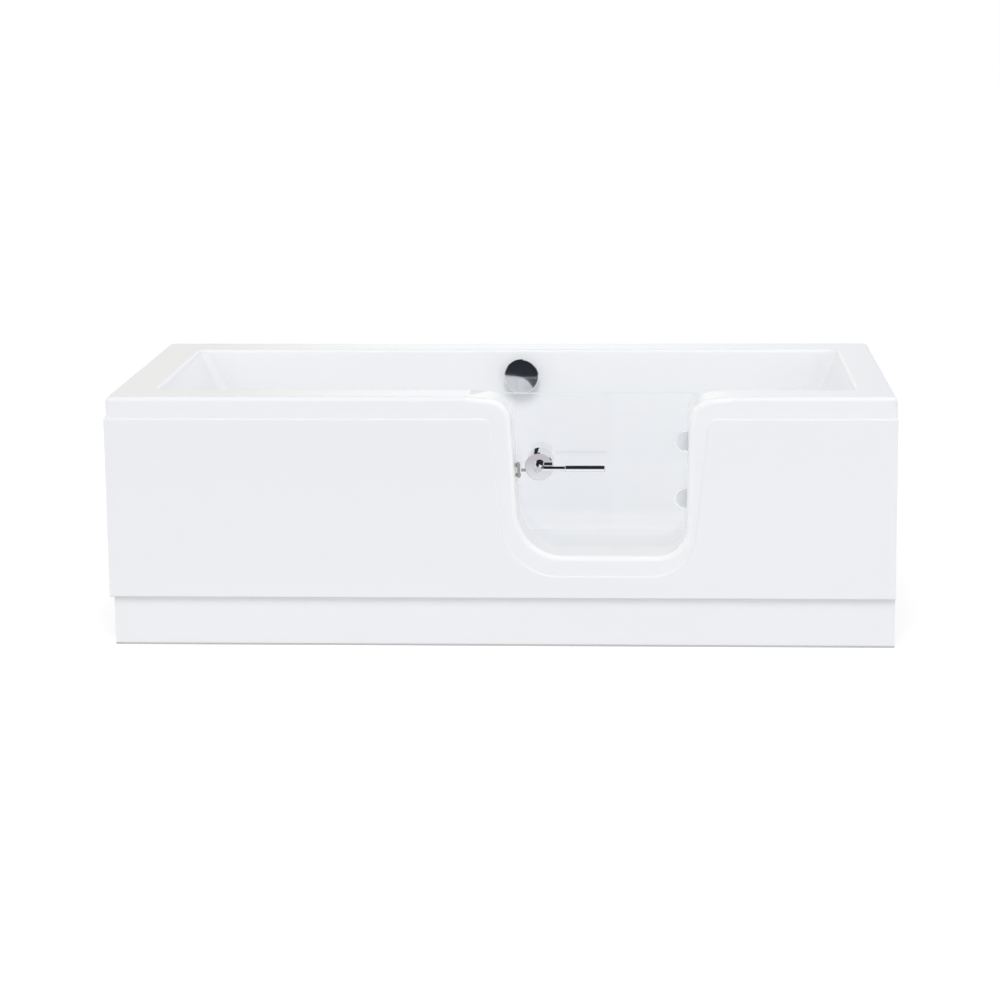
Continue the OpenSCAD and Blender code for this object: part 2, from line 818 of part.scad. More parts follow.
// Hinges
module hinge_leaves() {
    web_x = hinge_x + ear_r;
    color("silver") for (z = hinge_zs) translate([0, 0, z]) difference() {
        union() {
            // Plate on the wall
            box(web_x, web_x + leaf_l, basin_y0, basin_y0 + leaf_t, -leaf_half, leaf_half);
            box(web_x, web_x + leaf_web, basin_y0 + leaf_t, hinge_y, -leaf_half, leaf_half);
            // Ears above and below the middle knuckle
            for (s = [-1, 1]) translate([0, 0, s * (knuckle_h / 2 + gap + ear_h / 2)]) {
                translate([hinge_x, hinge_y, -ear_h / 2])
                    cylinder(r = ear_r, h = ear_h, $fn = 48);
                box(hinge_x, web_x + leaf_web, hinge_y - ear_r, hinge_y, -ear_h / 2, ear_h / 2);
            }
        }
        translate([hinge_x, hinge_y, -leaf_half - past])
            cylinder(d = pin_d, h = 2 * (leaf_half + past), $fn = 48);
        for (s = [-1, 1])
            translate([web_x + leaf_l - leaf_screw_in, basin_y0 - past, s * leaf_half / 2])
            rotate([-90, 0, 0]) cylinder(d = 5.2, h = leaf_t + 2 * past, $fn = 32);
    }
}

module hinge_pins() {
    color("silver") for (z = hinge_zs) translate([hinge_x, hinge_y, z - leaf_half]) {
        cylinder(d = pin_d, h = 2 * leaf_half, $fn = 48);
        translate([0, 0, 2 * leaf_half]) cylinder(d = pin_d + 4, h = 2, $fn = 48);
    }
}

module hinge_screws() {
    x = hinge_x + ear_r + leaf_l - leaf_screw_in;
    color("silver") for (z = hinge_zs, s = [-1, 1])
        translate([x, basin_y0, z + s * leaf_half / 2]) rotate([-90, 0, 0]) {
            cylinder(d = 5, h = leaf_t, $fn = 32);
            translate([0, 0, leaf_t]) cylinder(d = 9, h = 2.5, $fn = 32);
        }
}

module hinge_arms() {
    disc_y = glass_y1 + hinge_pad_t;
    arm_y = disc_y + disc_t;
    h = knuckle_h;
    color("silver") for (z = hinge_zs) translate([0, 0, z]) difference() {
        union() {
            translate([disc_x, disc_y, 0]) rotate([-90, 0, 0])
                cylinder(d = disc_d, h = disc_t, $fn = 96);
            box(disc_x - arm_in, hinge_x, arm_y, hinge_y, -h / 2, h / 2);
            translate([hinge_x, hinge_y, -h / 2]) cylinder(r = arm_r, h = h, $fn = 48);
        }
        translate([hinge_x, hinge_y, -h / 2 - past])
            cylinder(d = pin_d + 2 * fit, h = h + 2 * past, $fn = 48);
    }
}

module hinge_pads() {
    color("whitesmoke") for (z = hinge_zs) translate([disc_x, glass_y1, z])
        rotate([-90, 0, 0]) cylinder(d = disc_d - 4, h = hinge_pad_t, $fn = 64);
}

// Lock case, rose and latch
module at_handle(y) {
    // Local +Z points out of the tub, towards the front
    translate([handle_x, y, handle_z]) rotate([90, 0, 0]) children();
}

module lock_case() {
    l = case_l - gasket_t;
    bolt_y = case_bolt_depth;
    color("silver") difference() {
        at_handle(glass_y0 - gasket_t) rotate_extrude($fn = 128) polygon([
            [0, 0], [case_d / 2, 0], [case_d / 2, l - 2], [case_d / 2 - 2, l], [0, l]
        ]);
        at_handle(glass_y0) translate([0, 0, -past])
            cylinder(d = spindle_d + 2 * fit, h = case_l + 2 * past, $fn = 64);
        // Bore of the latch bolt
        translate([handle_x - case_d, glass_y0 - bolt_y, latch_z]) rotate([0, 90, 0])
            cylinder(d = bolt_d + 2 * fit, h = case_d - spindle_d / 2 - 1, $fn = 48);
    }
}

module case_gasket() {
    color("dimgray") at_handle(glass_y0) tube(case_d - 4, glass_hole_d, gasket_t);
}

module inner_gasket() {
    color("dimgray") at_handle(glass_y1 + gasket_t) tube(rose_d - 2, glass_hole_d, gasket_t);
}

module inner_rose() {
    color("silver") at_handle(glass_y1 + gasket_t + rose_t) difference() {
        rotate_extrude($fn = 96) polygon([
            [0, rose_t], [rose_d / 2, rose_t], [rose_d / 2, 2], [rose_d / 2 - 2, 0], [0, 0]
        ]);
        translate([0, 0, -past])
            cylinder(d = spindle_d + 2 * fit, h = rose_t + 2 * past, $fn = 64);
    }
}

module spindle() {
    // From inside the hub to inside the inner turn
    y1 = glass_y1 + gasket_t + rose_t + gap + 14;
    color("silver") at_handle(y1) cylinder(d = spindle_d, h = y1 - lever_y, $fn = 64);
}

module lever() {
    hub_l = lever_out + hub_d / 2 - gap;
    neck_l = lever_l - grip_l;
    color("silver") difference() {
        union() {
            at_handle(case_y - gap) rotate_extrude($fn = 96) polygon([
                [0, 0], [hub_d / 2, 0], [hub_d / 2, hub_l - 4], [hub_d / 2 - 4, hub_l], [0, hub_l]
            ]);
            translate([handle_x, lever_y, handle_z]) rotate([0, 90, 0])
                cylinder(d = neck_d, h = neck_l, $fn = 64);
        }
        at_handle(case_y) cylinder(d = spindle_d, h = lever_out, $fn = 64);
    }
}

module lever_grip() {
    neck_l = lever_l - grip_l;
    color("silver") translate([handle_x + neck_l, lever_y, handle_z]) rotate([0, 90, 0])
        rotate_extrude($fn = 64) polygon([
            [0, 0], [grip_d / 2 - 2, 0], [grip_d / 2, 2], [grip_d / 2, grip_l - 2],
            [grip_d / 2 - 2, grip_l], [0, grip_l]
        ]);
}

module inner_turn() {
    y0 = glass_y1 + gasket_t + rose_t + gap;
    h = 22;
    color("silver") difference() {
        at_handle(y0 + h) union() {
            cylinder(d = 30, h = h, $fn = 64);
            // Thumb bar
            translate([-22, -5, 0]) cube([44, 10, 14]);
        }
        at_handle(y0 + 14) cylinder(d = spindle_d, h = 14 + past, $fn = 64);
    }
}

module latch_bolt() {
    x0 = keeper_face + bolt_rest;
    x1 = handle_x - case_d / 2 + 16;
    color("rosybrown") translate([x0, glass_y0 - case_bolt_depth, latch_z]) rotate([0, 90, 0])
        cylinder(d = bolt_d, h = x1 - x0, $fn = 48);
}

// Keeper plate, screwed flat to the jamb
module at_keeper() {
    // Local +X points out of the jamb, which leans
    translate([jamb_x(latch_z), glass_y0 - case_bolt_depth, latch_z])
        rotate([0, -jamb_lean_l, 0]) children();
}

module keeper_plate() {
    z0 = -keeper_h / 2;
    color("gray") difference() {
        at_keeper() union() {
            translate([keeper_stand, -keeper_w / 2, z0]) cube([keeper_t, keeper_w, keeper_h]);
            // Bosses under the two screws
            for (s = [-1, 1]) translate([0, 0, s * keeper_screw_out]) rotate([0, 90, 0])
                cylinder(d = 8, h = keeper_stand, $fn = 32);
        }
        // Slot that the bolt enters
        at_keeper() translate([-past, -keeper_slot[0] / 2, -keeper_slot[1] / 2])
            cube([keeper_stand + keeper_t + 2 * past, keeper_slot[0], keeper_slot[1]]);
        for (s = [-1, 1]) at_keeper() translate([-past, 0, s * keeper_screw_out])
            rotate([0, 90, 0])
            cylinder(d = 3.2, h = keeper_stand + keeper_t + 2 * past, $fn = 24);
    }
}

module keeper_screws() {
    l = keeper_stand + keeper_t;
    color("gray") for (s = [-1, 1]) at_keeper() translate([0, 0, s * keeper_screw_out])
        rotate([0, 90, 0]) {
            cylinder(d = 3, h = l, $fn = 24);
            translate([0, 0, l]) cylinder(d = 5.5, h = 1.2, $fn = 24);
        }
}

// Overflow in the back wall. Local +Z points into the basin, square to the leaning wall.
module at_overflow() {
    z = tub_h - overflow_drop;
    translate([waste_x, basin_y1 - lean_in(lean_back, z), z])
        rotate([90 - lean_back, 0, 0]) children();
}

module overflow_body() {
    color("whitesmoke") difference() {
        union() {
            at_overflow() translate([0, 0, -shell_t - gasket_z - 4])
                cylinder(d = overflow_flange_d, h = 4, $fn = 96);
            at_overflow() translate([0, 0, -body_back])
                cylinder(d = body_barrel_d, h = body_back + nut_t, $fn = 96);
            translate([waste_x, hose_y, hose_top]) cylinder(d = spigot_d, h = 50, $fn = 64);
            // Gland of the control cable
            translate([cable_x, hose_y, cable_top]) cylinder(d = 10, h = 28, $fn = 32);
        }
        at_overflow() translate([0, 0, -body_back + 4])
            cylinder(d = body_bore_d, h = body_back, $fn = 96);
        translate([waste_x, hose_y, hose_top - past])
            cylinder(d = spigot_d - 5, h = 46, $fn = 64);
    }
    // Bush of the dial's spindle, on three webs
    color("whitesmoke") at_overflow() translate([0, 0, -20]) {
        tube(20, dial_spindle_d + 2 * fit, 20 - gap);
        for (a = [0, 120, 240]) rotate(a) translate([9.8, -2, 0]) cube([11.3, 4, 12]);
    }
}

module overflow_gasket() {
    color("dimgray") at_overflow() translate([0, 0, -shell_t - gasket_z])
        tube(72, overflow_bore, gasket_z);
}

module overflow_nut() {
    // Clamps the body from inside the basin
    color("whitesmoke") at_overflow() tube(overflow_nut_d, body_barrel_d + 2 * fit, nut_t);
}

module overflow_collar() {
    // Skirt round the nut, open below so that water can run in
    l = dial_out - dial_t - gap;
    color("silver") at_overflow() difference() {
        tube(collar_d, overflow_nut_d + 1, l);
        translate([-20, -45, 3]) cube([40, 30, l - 6]);
    }
}

module overflow_dial() {
    z0 = dial_out - dial_t;
    color("silver") at_overflow() difference() {
        translate([0, 0, z0]) rotate_extrude($fn = 128) polygon([
            [0, 0], [dial_d / 2, 0], [dial_d / 2, dial_t - 2], [dial_d / 2 - 2, dial_t],
            [0, dial_t]
        ]);
        translate([0, 0, z0 - past]) cylinder(d = dial_spindle_d, h = 7 + past, $fn = 48);
    }
}

module dial_spindle() {
    color("silver") at_overflow() translate([0, 0, -24])
        cylinder(d = dial_spindle_d, h = 24 + dial_out - dial_t + 7, $fn = 48);
}

// Ribbed hose from the overflow to the waste: down, round a quarter turn, and forwards
// Point and direction of the hose's middle line at length s, in Y and Z
function hose_at(s) =
    let (drop = hose_top - hose_z - bend_r, arc = bend_r * PI / 2)
    s < drop ? [[hose_y, hose_top - s], [0, -1]]
    : s < drop + arc ?
        let (a = (s - drop) / bend_r * 180 / PI)
        [[hose_y - bend_r + bend_r * cos(a), hose_z + bend_r - bend_r * sin(a)],
            [-sin(a), -cos(a)]]
    : [[hose_y - bend_r - (s - drop - arc), hose_z], [-1, 0]];
function hose_ring(s, r) =
    let (at = hose_at(s), p = at[0], d = at[1])
    [for (i = [0 : 7]) [waste_x + r * cos(45 * i), p[0] + r * sin(45 * i) * d[1],
        p[1] - r * sin(45 * i) * d[0]]];

module overflow_hose() {
    total = hose_top - hose_z - bend_r + bend_r * PI / 2 + hose_y - bend_r - hose_end;
    wall = 1.5;
    end = hose_d;
    ribs = floor((total - 2 * end) / rib_pitch);
    start = (total - ribs * rib_pitch) / 2;
    outer = concat(
        [[0, hose_d / 2 - wall]],
        [for (i = [0 : ribs - 1]) each [
            [start + i * rib_pitch, hose_d / 2 - wall],
            [start + (i + 0.5) * rib_pitch, hose_d / 2]
        ]],
        [[total - start, hose_d / 2 - wall], [total, hose_d / 2 - wall]]
    );
    steps = 40;
    color("whitesmoke") difference() {
        skin([for (p = outer) hose_ring(p[0], p[1])]);
        skin([for (i = [0 : steps])
            hose_ring(-0.01 + (total + 0.02) * i / steps, hose_d / 2 - 2 * wall)]);
    }
}

module hose_nuts() {
    color("dimgray") {
        translate([waste_x, hose_y, hose_top - hose_nut_l / 2])
            tube(hose_d + 8, spigot_d + 2 * gap, hose_nut_l);
        translate([waste_x, hose_end + hose_nut_l / 2, hose_z]) rotate([90, 0, 0])
            tube(hose_d + 6, spigot_d + 2 * gap, hose_nut_l);
    }
}

module control_cable() {
    r = cable_bend_r;
    color("black") {
        translate([cable_x, hose_y, cable_z + r])
            cylinder(d = cable_d, h = cable_top - cable_z - r, $fn = 24);
        translate([cable_x, hose_y - r, cable_z + r]) rotate([0, 90, 0])
            rotate_extrude(angle = 90, $fn = 48) translate([r, 0]) circle(d = cable_d, $fn = 24);
        translate([cable_x, cable_end, cable_z]) rotate([-90, 0, 0])
            cylinder(d = cable_d, h = hose_y - r - cable_end, $fn = 24);
    }
}

// Waste in the basin's floor
module at_waste(z) {
    translate([waste_x, waste_y, z]) children();
}

module waste_flange() {
    color("silver") at_waste(0) difference() {
        union() {
            translate([0, 0, floor_z]) rotate_extrude($fn = 96) polygon([
                [0, 0], [waste_d / 2, 0], [waste_d / 2, 1], [waste_d / 2 - 2, 3], [0, 3]
            ]);
            translate([0, 0, tail_z]) cylinder(d = waste_bore - 1, h = floor_z - tail_z, $fn = 96);
        }
        translate([0, 0, tail_z - past]) cylinder(d = waste_bore - 6, h = 80, $fn = 96);
    }
}

module waste_gasket() {
    color("dimgray") at_waste(under_z - gasket_z) tube(body_flange_d, waste_bore, gasket_z);
}

module waste_body() {
    top = under_z - gasket_z;
    color("whitesmoke") difference() {
        union() {
            at_waste(top - 5) cylinder(d = body_flange_d, h = 5, $fn = 96);
            at_waste(body_z) cylinder(d = drain_body_d, h = top - body_z, $fn = 96);
            // Spigots to the overflow hose, the trap and the control cable
            translate([waste_x, waste_y, hose_z]) rotate([-90, 0, 0])
                cylinder(d = spigot_d, h = hose_end - waste_y, $fn = 64);
            translate([waste_x, waste_y, branch_z]) rotate([0, 90, 0])
                cylinder(d = branch_d, h = branch_l, $fn = 64);
            translate([cable_x, waste_y, cable_z]) rotate([-90, 0, 0])
                cylinder(d = 10, h = cable_end - waste_y, $fn = 32);
        }
        at_waste(tail_z) cylinder(d = waste_bore - 1 + 2 * fit, h = 80, $fn = 96);
        at_waste(body_z + 3) cylinder(d = drain_bore_d, h = 80, $fn = 96);
        translate([waste_x, waste_y, hose_z]) rotate([-90, 0, 0])
            cylinder(d = spigot_d - 5, h = 80, $fn = 64);
        translate([waste_x, waste_y, branch_z]) rotate([0, 90, 0])
            cylinder(d = branch_d - 5, h = 80, $fn = 64);
    }
    // Guide of the plug's stem, on three webs
    color("whitesmoke") at_waste(guide_z) {
        tube(14, stem_bore, 8);
        for (a = [30, 150, 270]) rotate(a) translate([6.9, -1.5, 0]) cube([17, 3, 8]);
    }
}

module waste_plug() {
    color("silver") at_waste(floor_z + 3 + gap) {
        rotate_extrude($fn = 96) polygon([
            [0, 0], [plug_d / 2 - 1, 0], [plug_d / 2, 1], [plug_d / 2, 3], [plug_d / 2 - 4, 5],
            [0, 6.5]
        ]);
        translate([0, 0, -plug_stem_l])
            cylinder(d = stem_bore - 2 * fit, h = plug_stem_l, $fn = 32);
    }
}

module plug_seal() {
    color("dimgray") at_waste(floor_z + 3 + gap - 2) tube(waste_bore - 8, stem_bore, 2);
}

module trap() {
    x = trap_x;
    r = trap_r;
    bevel = trap_r - trap_foot_r;
    wall = trap_wall;
    color("whitesmoke") difference() {
        union() {
            translate([x, waste_y, trap_z]) rotate_extrude($fn = 96) polygon([
                [0, 0], [r - bevel, 0], [r, bevel], [r, trap_h - wall], [r - wall, trap_h],
                [0, trap_h]
            ]);
            translate([x, waste_y, outlet_z]) rotate([-90, 0, 0])
                cylinder(d = outlet_d + 2 * wall, h = trap_out_l, $fn = 64);
            translate([waste_x + branch_l, waste_y, branch_z]) rotate([0, 90, 0])
                cylinder(d = branch_d, h = x - waste_x - branch_l, $fn = 64);
        }
        translate([x, waste_y, trap_z]) rotate_extrude($fn = 96) polygon([
            [0, wall], [r - bevel - wall / 2, wall], [r - wall, bevel + wall / 2],
            [r - wall, trap_h - wall - 1], [0, trap_h - wall - 1]
        ]);
        translate([x, waste_y + 20, outlet_z]) rotate([-90, 0, 0])
            cylinder(d = outlet_d + 2 * fit, h = 80, $fn = 64);
        translate([waste_x + branch_l - past, waste_y, branch_z]) rotate([0, 90, 0])
            cylinder(d = branch_d - 5, h = x - waste_x - branch_l, $fn = 64);
    }
}

module trap_nuts() {
    color("dimgray") {
        translate([waste_x + branch_l - branch_nut_l / 2, waste_y, branch_z]) rotate([0, 90, 0])
            tube(branch_d + 10, branch_d + 2 * fit, branch_nut_l);
        translate([trap_x, waste_y + trap_out_l + outlet_nut_l, outlet_z]) rotate([90, 0, 0])
            tube(outlet_d + 12, outlet_d + 2 * fit, outlet_nut_l);
    }
}

module outlet_pipe() {
    y1 = outlet_end - socket_depth - 5;
    color("whitesmoke") translate([trap_x, y1, outlet_z]) rotate([90, 0, 0])
        tube(outlet_d, outlet_d - 5, y1 - waste_y - trap_r);
}

module outlet_socket() {
    // Push-fit socket for the building's waste pipe, with a stop ring between its two ends
    color("whitesmoke") translate([trap_x, outlet_end, outlet_z]) rotate([90, 0, 0]) difference() {
        cylinder(d = outlet_d + 9, h = socket_l, $fn = 64);
        translate([0, 0, -past])
            cylinder(d = outlet_d + 2 * outlet_fit, h = socket_depth + past, $fn = 64);
        translate([0, 0, -past]) cylinder(d = outlet_d - 5, h = socket_l + 2 * past, $fn = 64);
        translate([0, 0, socket_depth + 5])
            cylinder(d = outlet_d + 2 * fit, h = socket_l, $fn = 64);
    }
}

tub_shell();
base_board();
rim_battens();
sill_batten();
front_panel();
plinth();
plinth_clips();
panel_brackets();
panel_rests();
rail_front();
rail_back();
cross_rails();
uprights();
sill_upright();
rail_caps();
foot_stems();
foot_nuts();
foot_pads();
wall_brackets();
bracket_screws();
door_seal();
keeper_plate();
keeper_screws();
hinge_leaves();
hinge_pins();
hinge_screws();
door_glass();
hinge_arms();
hinge_pads();
lock_case();
case_gasket();
inner_gasket();
inner_rose();
lever();
lever_grip();
spindle();
inner_turn();
latch_bolt();
overflow_body();
overflow_gasket();
overflow_nut();
overflow_collar();
overflow_dial();
dial_spindle();
overflow_hose();
hose_nuts();
control_cable();
waste_flange();
waste_gasket();
waste_body();
waste_plug();
plug_seal();
trap();
trap_nuts();
outlet_pipe();
outlet_socket();
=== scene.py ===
# %% [markdown]
# # A bathtub with a glass door
# This notebook dresses a finished mechanical model of a bathtub. The model says where each
# piece is and how it moves. Here the pieces get the look of the real thing: white moulded
# acrylic, clear toughened glass and polished chrome, under the soft light of a studio.
# The scene is measured in metres. The outlines further down are written in millimetres.

# %% Load the model and keep its box
import math

import bmesh
import bpy
import numpy as np
from mathutils import Matrix, Vector


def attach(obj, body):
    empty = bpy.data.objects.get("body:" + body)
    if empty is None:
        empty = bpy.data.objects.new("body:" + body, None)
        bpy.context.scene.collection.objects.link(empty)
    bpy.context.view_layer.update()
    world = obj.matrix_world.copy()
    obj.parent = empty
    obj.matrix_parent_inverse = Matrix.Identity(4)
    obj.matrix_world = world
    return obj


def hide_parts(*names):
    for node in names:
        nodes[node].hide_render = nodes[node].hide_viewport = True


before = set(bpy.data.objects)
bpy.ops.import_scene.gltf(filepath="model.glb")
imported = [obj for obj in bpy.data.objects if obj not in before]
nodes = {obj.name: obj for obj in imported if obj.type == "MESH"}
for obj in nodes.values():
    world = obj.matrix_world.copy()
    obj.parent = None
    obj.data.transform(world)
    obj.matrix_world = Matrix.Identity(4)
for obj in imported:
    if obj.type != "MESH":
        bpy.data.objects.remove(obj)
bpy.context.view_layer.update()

# %% [markdown]
# ## Camera
# The picture was taken from in front, a little to the right of the middle and well above the
# tub. Its uprights stay almost parallel, which a photographer gets by sliding the lens
# instead of tilting the camera. A small slide is kept here, and the rest is a tilt, so that
# the same camera still frames the tub when it is carried round to the back.

# %% Place the camera
def look_from(place, yaw, pitch, roll):
    """A camera's matrix. Yaw 0 looks along +Y, and a positive pitch looks down."""
    ahead = Vector((math.sin(yaw) * math.cos(pitch), math.cos(yaw) * math.cos(pitch),
                    -math.sin(pitch)))
    right = Vector((math.cos(yaw), -math.sin(yaw), 0))
    up = right.cross(ahead)
    side = right * math.cos(roll) + up * math.sin(roll)
    top = up * math.cos(roll) - right * math.sin(roll)
    turn = Matrix((side, top, -ahead)).transposed()
    return Matrix.Translation(place) @ turn.to_4x4()


camera = bpy.data.objects.new("camera", bpy.data.cameras.new("camera"))
bpy.context.scene.collection.objects.link(camera)
camera.data.sensor_width = 36
camera.data.lens = 88.91
camera.data.shift_x, camera.data.shift_y = -0.035, -0.13
camera.matrix_world = look_from((0.3158, -5.5427, 1.4827), math.radians(-2.617),
                                math.radians(9.581), math.radians(-0.433))
camera.data.clip_end = 60
bpy.context.scene.camera = camera
print("lens", round(camera.data.lens, 1), "mm")

# %% [markdown]
# ## Helpers for nodes
# Light and finishes are both made of small nodes that are wired together. Wiring them one by
# one takes many lines, so four helpers do it: they add a node, do a sum, blend two colours, and
# read a colour off a ramp.

# %% Helpers for nodes
FACTOR, COLOUR_A, COLOUR_B, BLEND = 0, 6, 7, 2  # a mix node's sockets when it mixes colours


def node_of(tree, kind, **values):
    """Adds a node and sets its named properties and inputs."""
    node = tree.nodes.new(kind)
    for name, value in values.items():
        if name in node.inputs:
            node.inputs[name].default_value = value
        else:
            setattr(node, name, value)
    return node


def math_node(tree, operation, a, b):
    """A sum of two values. Each is a number or another node's output."""
    node = node_of(tree, "ShaderNodeMath", operation=operation)
    for socket, value in zip(node.inputs, (a, b)):
        if isinstance(value, (int, float)):
            socket.default_value = value
        else:
            tree.links.new(value, socket)
    return node.outputs[0]


def mixed(tree, factor, first, second, how="MIX"):
    """Two colours blended by a factor from 0 to 1."""
    node = node_of(tree, "ShaderNodeMix", data_type="RGBA", blend_type=how)
    for number, value in ((FACTOR, factor), (COLOUR_A, first), (COLOUR_B, second)):
        socket = node.inputs[number]
        if isinstance(value, tuple):
            socket.default_value = (*value, 1)
        elif isinstance(value, float):
            socket.default_value = value
        else:
            tree.links.new(value, socket)
    return node.outputs[BLEND]


def ramp(tree, source, stops):
    """A ramp of colours over a value, from (place, colour) pairs."""
    node = tree.nodes.new("ShaderNodeValToRGB")
    tree.links.new(source, node.inputs["Fac"])
    band = node.color_ramp
    while len(band.elements) < len(stops):
        band.elements.new(0.5)
    for element, (place, colour) in zip(band.elements, stops):
        element.position = place
        element.color = (*colour, 1)
    return node.outputs["Color"]


print("helpers", [helper.__name__ for helper in (node_of, math_node, mixed, ramp)])

# %% [markdown]
# ## Studio
# White acrylic shows its form only through soft gradients, so nearly all light here comes from
# all round. Chrome is the opposite: it needs something dark to reflect. The surroundings are
# therefore bright for matt surfaces, and for mirrors they are a dim room with a bright ceiling.
# For matt surfaces, four gentle gradients are multiplied: brighter in front than behind, cooler
# on the right, dimmer overhead, and brighter at the tub's two ends.

# %% Light for matt surfaces
world = bpy.data.worlds.new("studio")
bpy.context.scene.world = world
world.use_nodes = True
sky = world.node_tree
sky.nodes.clear()
way = node_of(sky, "ShaderNodeTexCoord")
parts = node_of(sky, "ShaderNodeSeparateXYZ")
sky.links.new(way.outputs["Generated"], parts.inputs[0])
east, north, up = parts.outputs


def grey(level):
    return level, level, level


def share(source, low, high):
    """Where a value lies between low and high, as a share from 0 to 1."""
    node = node_of(sky, "ShaderNodeMapRange", **{"From Min": low, "From Max": high})
    sky.links.new(source, node.inputs["Value"])
    return node.outputs[0]


def times(first, second):
    """The product of two colours."""
    return mixed(sky, 1.0, first, second, "MULTIPLY")


front_back = mixed(sky, share(north, -0.9, 0.9), grey(1.06), grey(0.81))
left_right = mixed(sky, share(east, -1, 1), (0.97, 0.965, 0.96), (1.02, 1.035, 1.075))
overhead = mixed(sky, share(up, 0, 1), grey(1.04), grey(0.34))
ends = mixed(sky, math_node(sky, "MULTIPLY", east, east), grey(1.0), grey(1.5))
soft = times(times(front_back, left_right), times(overhead, ends))
print("gradients", len(sky.nodes))

# %% [markdown]
# Mirrors see a long softbox behind the tub, which fades out towards both sides and gives the
# deck its sheen. In front they see a dark room, which gives the chrome its black bands. The
# camera itself sees plain white.

# %% Light for mirrors
SOFTBOX_POWER = 1.09
softbox = ramp(sky, share(east, -0.25, 0.15), [
    (0.11, (0.74, 0.72, 0.68)), (0.20, (0.72, 0.71, 0.67)), (0.275, (0.86, 0.85, 0.83)),
    (0.35, (0.96, 0.97, 0.94)), (0.41, (1.0, 1.0, 0.98)), (0.54, (1.0, 1.0, 1.0)),
    (0.61, (0.97, 0.97, 0.97)), (0.70, (0.90, 0.90, 0.91)), (0.78, (0.84, 0.84, 0.86)),
    (0.90, (0.72, 0.73, 0.75))])
ceiling = mixed(sky, share(east, 0.03, 0.07), (0.02, 0.022, 0.03), (0.85, 0.87, 0.9))
in_front = mixed(sky, share(up, 0.45, 0.65), (0.025, 0.028, 0.036), ceiling)
behind = mixed(sky, share(up, 0.45, 0.6), times(softbox, grey(SOFTBOX_POWER)), ceiling)
mirrored = mixed(sky, share(north, -0.15, 0.3), in_front, behind)

rays = node_of(sky, "ShaderNodeLightPath")
unseen = mixed(sky, rays.outputs["Is Glossy Ray"], soft, mirrored)
seen = mixed(sky, rays.outputs["Is Camera Ray"], unseen, grey(1.0))
glow = node_of(sky, "ShaderNodeBackground", Strength=1.0)
sky.links.new(seen, glow.inputs["Color"])
out = node_of(sky, "ShaderNodeOutputWorld")
sky.links.new(glow.outputs[0], out.inputs["Surface"])
bpy.context.scene.view_settings.view_transform = "Standard"
bpy.context.scene.view_settings.look = "None"
print("world nodes", len(sky.nodes))

# %% [markdown]
# One large lamp high in front adds what an even sky can't: the soft shadow under the panel's
# lower edge, and a little less light in the basin's lee.

# %% Key light
key = bpy.data.objects.new("key_light", bpy.data.lights.new("key_light", "SUN"))
bpy.context.scene.collection.objects.link(key)
key.data.energy = 1.09
key.data.angle = math.radians(28)
key.visible_glossy = key.visible_transmission = False
key.rotation_euler = (math.radians(33), 0, 0)
print("key light", key.data.energy)

# %% [markdown]
# ## Floor and cards
# The tub stands on white paper, which also lights it from below. Chrome and glossy acrylic need
# something to mirror, so a grey card and a white one lie side by side on the paper in front of
# the tub. Only mirrors see them.

# %% Floor
def stage_plane(name, corners, z):
    """A level sheet through four corners, counter-clockwise seen from above."""
    mesh = bpy.data.meshes.new(name)
    mesh.from_pydata([(x, y, z) for x, y in corners], [], [(0, 1, 2, 3)])
    plane = bpy.data.objects.new(name, mesh)
    bpy.context.scene.collection.objects.link(plane)
    return plane


def paper(name, colour, glow_colour, strength, strength_seen):
    """Matt paper that glows a little, and more where the camera or a mirror sees it."""
    material = bpy.data.materials.new(name)
    material.use_nodes = True
    tree = material.node_tree
    shader = tree.nodes["Principled BSDF"]
    shader.inputs["Base Color"].default_value = (*colour, 1)
    shader.inputs["Roughness"].default_value = 1.0
    shader.inputs["Specular IOR Level"].default_value = 0.0
    shader.inputs["Emission Color"].default_value = (*glow_colour, 1)
    rays = node_of(tree, "ShaderNodeLightPath")
    level = node_of(tree, "ShaderNodeMapRange", **{"To Min": strength, "To Max": strength_seen})
    sharp = math_node(tree, "MAXIMUM", rays.outputs["Is Camera Ray"],
                      rays.outputs["Is Glossy Ray"])
    tree.links.new(sharp, level.inputs["Value"])
    tree.links.new(level.outputs[0], shader.inputs["Emission Strength"])
    return material


floor = stage_plane("floor", [(-20, -20), (20, -20), (20, 20), (-20, 20)], 0)
floor.data.materials.append(paper("white_paper", grey(0.53), grey(1), 0.075, 0.6))
print("stage", floor.name)

# %% [markdown]
# Paper under one lamp is never evenly bright, so each card fades from its far part to its near
# part. The seam between the cards leans a little, as the chrome shows it.

# %% Cards
CARD_Z, CARD_FAR, CARD_NEAR = 0.001, -0.93, -3.4
FADE_FROM, FADE_TO = -2.28, -2.06
SEAM_NEAR, SEAM_FAR = 0.193, 0.232


def card(name, corners, near_colour, far_colour):
    """A sheet that only mirrors see."""
    sheet = stage_plane(name, corners, CARD_Z)
    material = paper(name, grey(0), far_colour, 1.0, 1.0)
    tree = material.node_tree
    place = node_of(tree, "ShaderNodeTexCoord")
    split = node_of(tree, "ShaderNodeSeparateXYZ")
    tree.links.new(place.outputs["Object"], split.inputs[0])
    fade = node_of(tree, "ShaderNodeMapRange", **{"From Min": FADE_FROM, "From Max": FADE_TO})
    tree.links.new(split.outputs["Y"], fade.inputs["Value"])
    tree.links.new(mixed(tree, fade.outputs[0], near_colour, far_colour),
                   tree.nodes["Principled BSDF"].inputs["Emission Color"])
    sheet.data.materials.append(material)
    sheet.visible_camera = sheet.visible_diffuse = sheet.visible_shadow = False
    sheet.visible_transmission = False
    return sheet


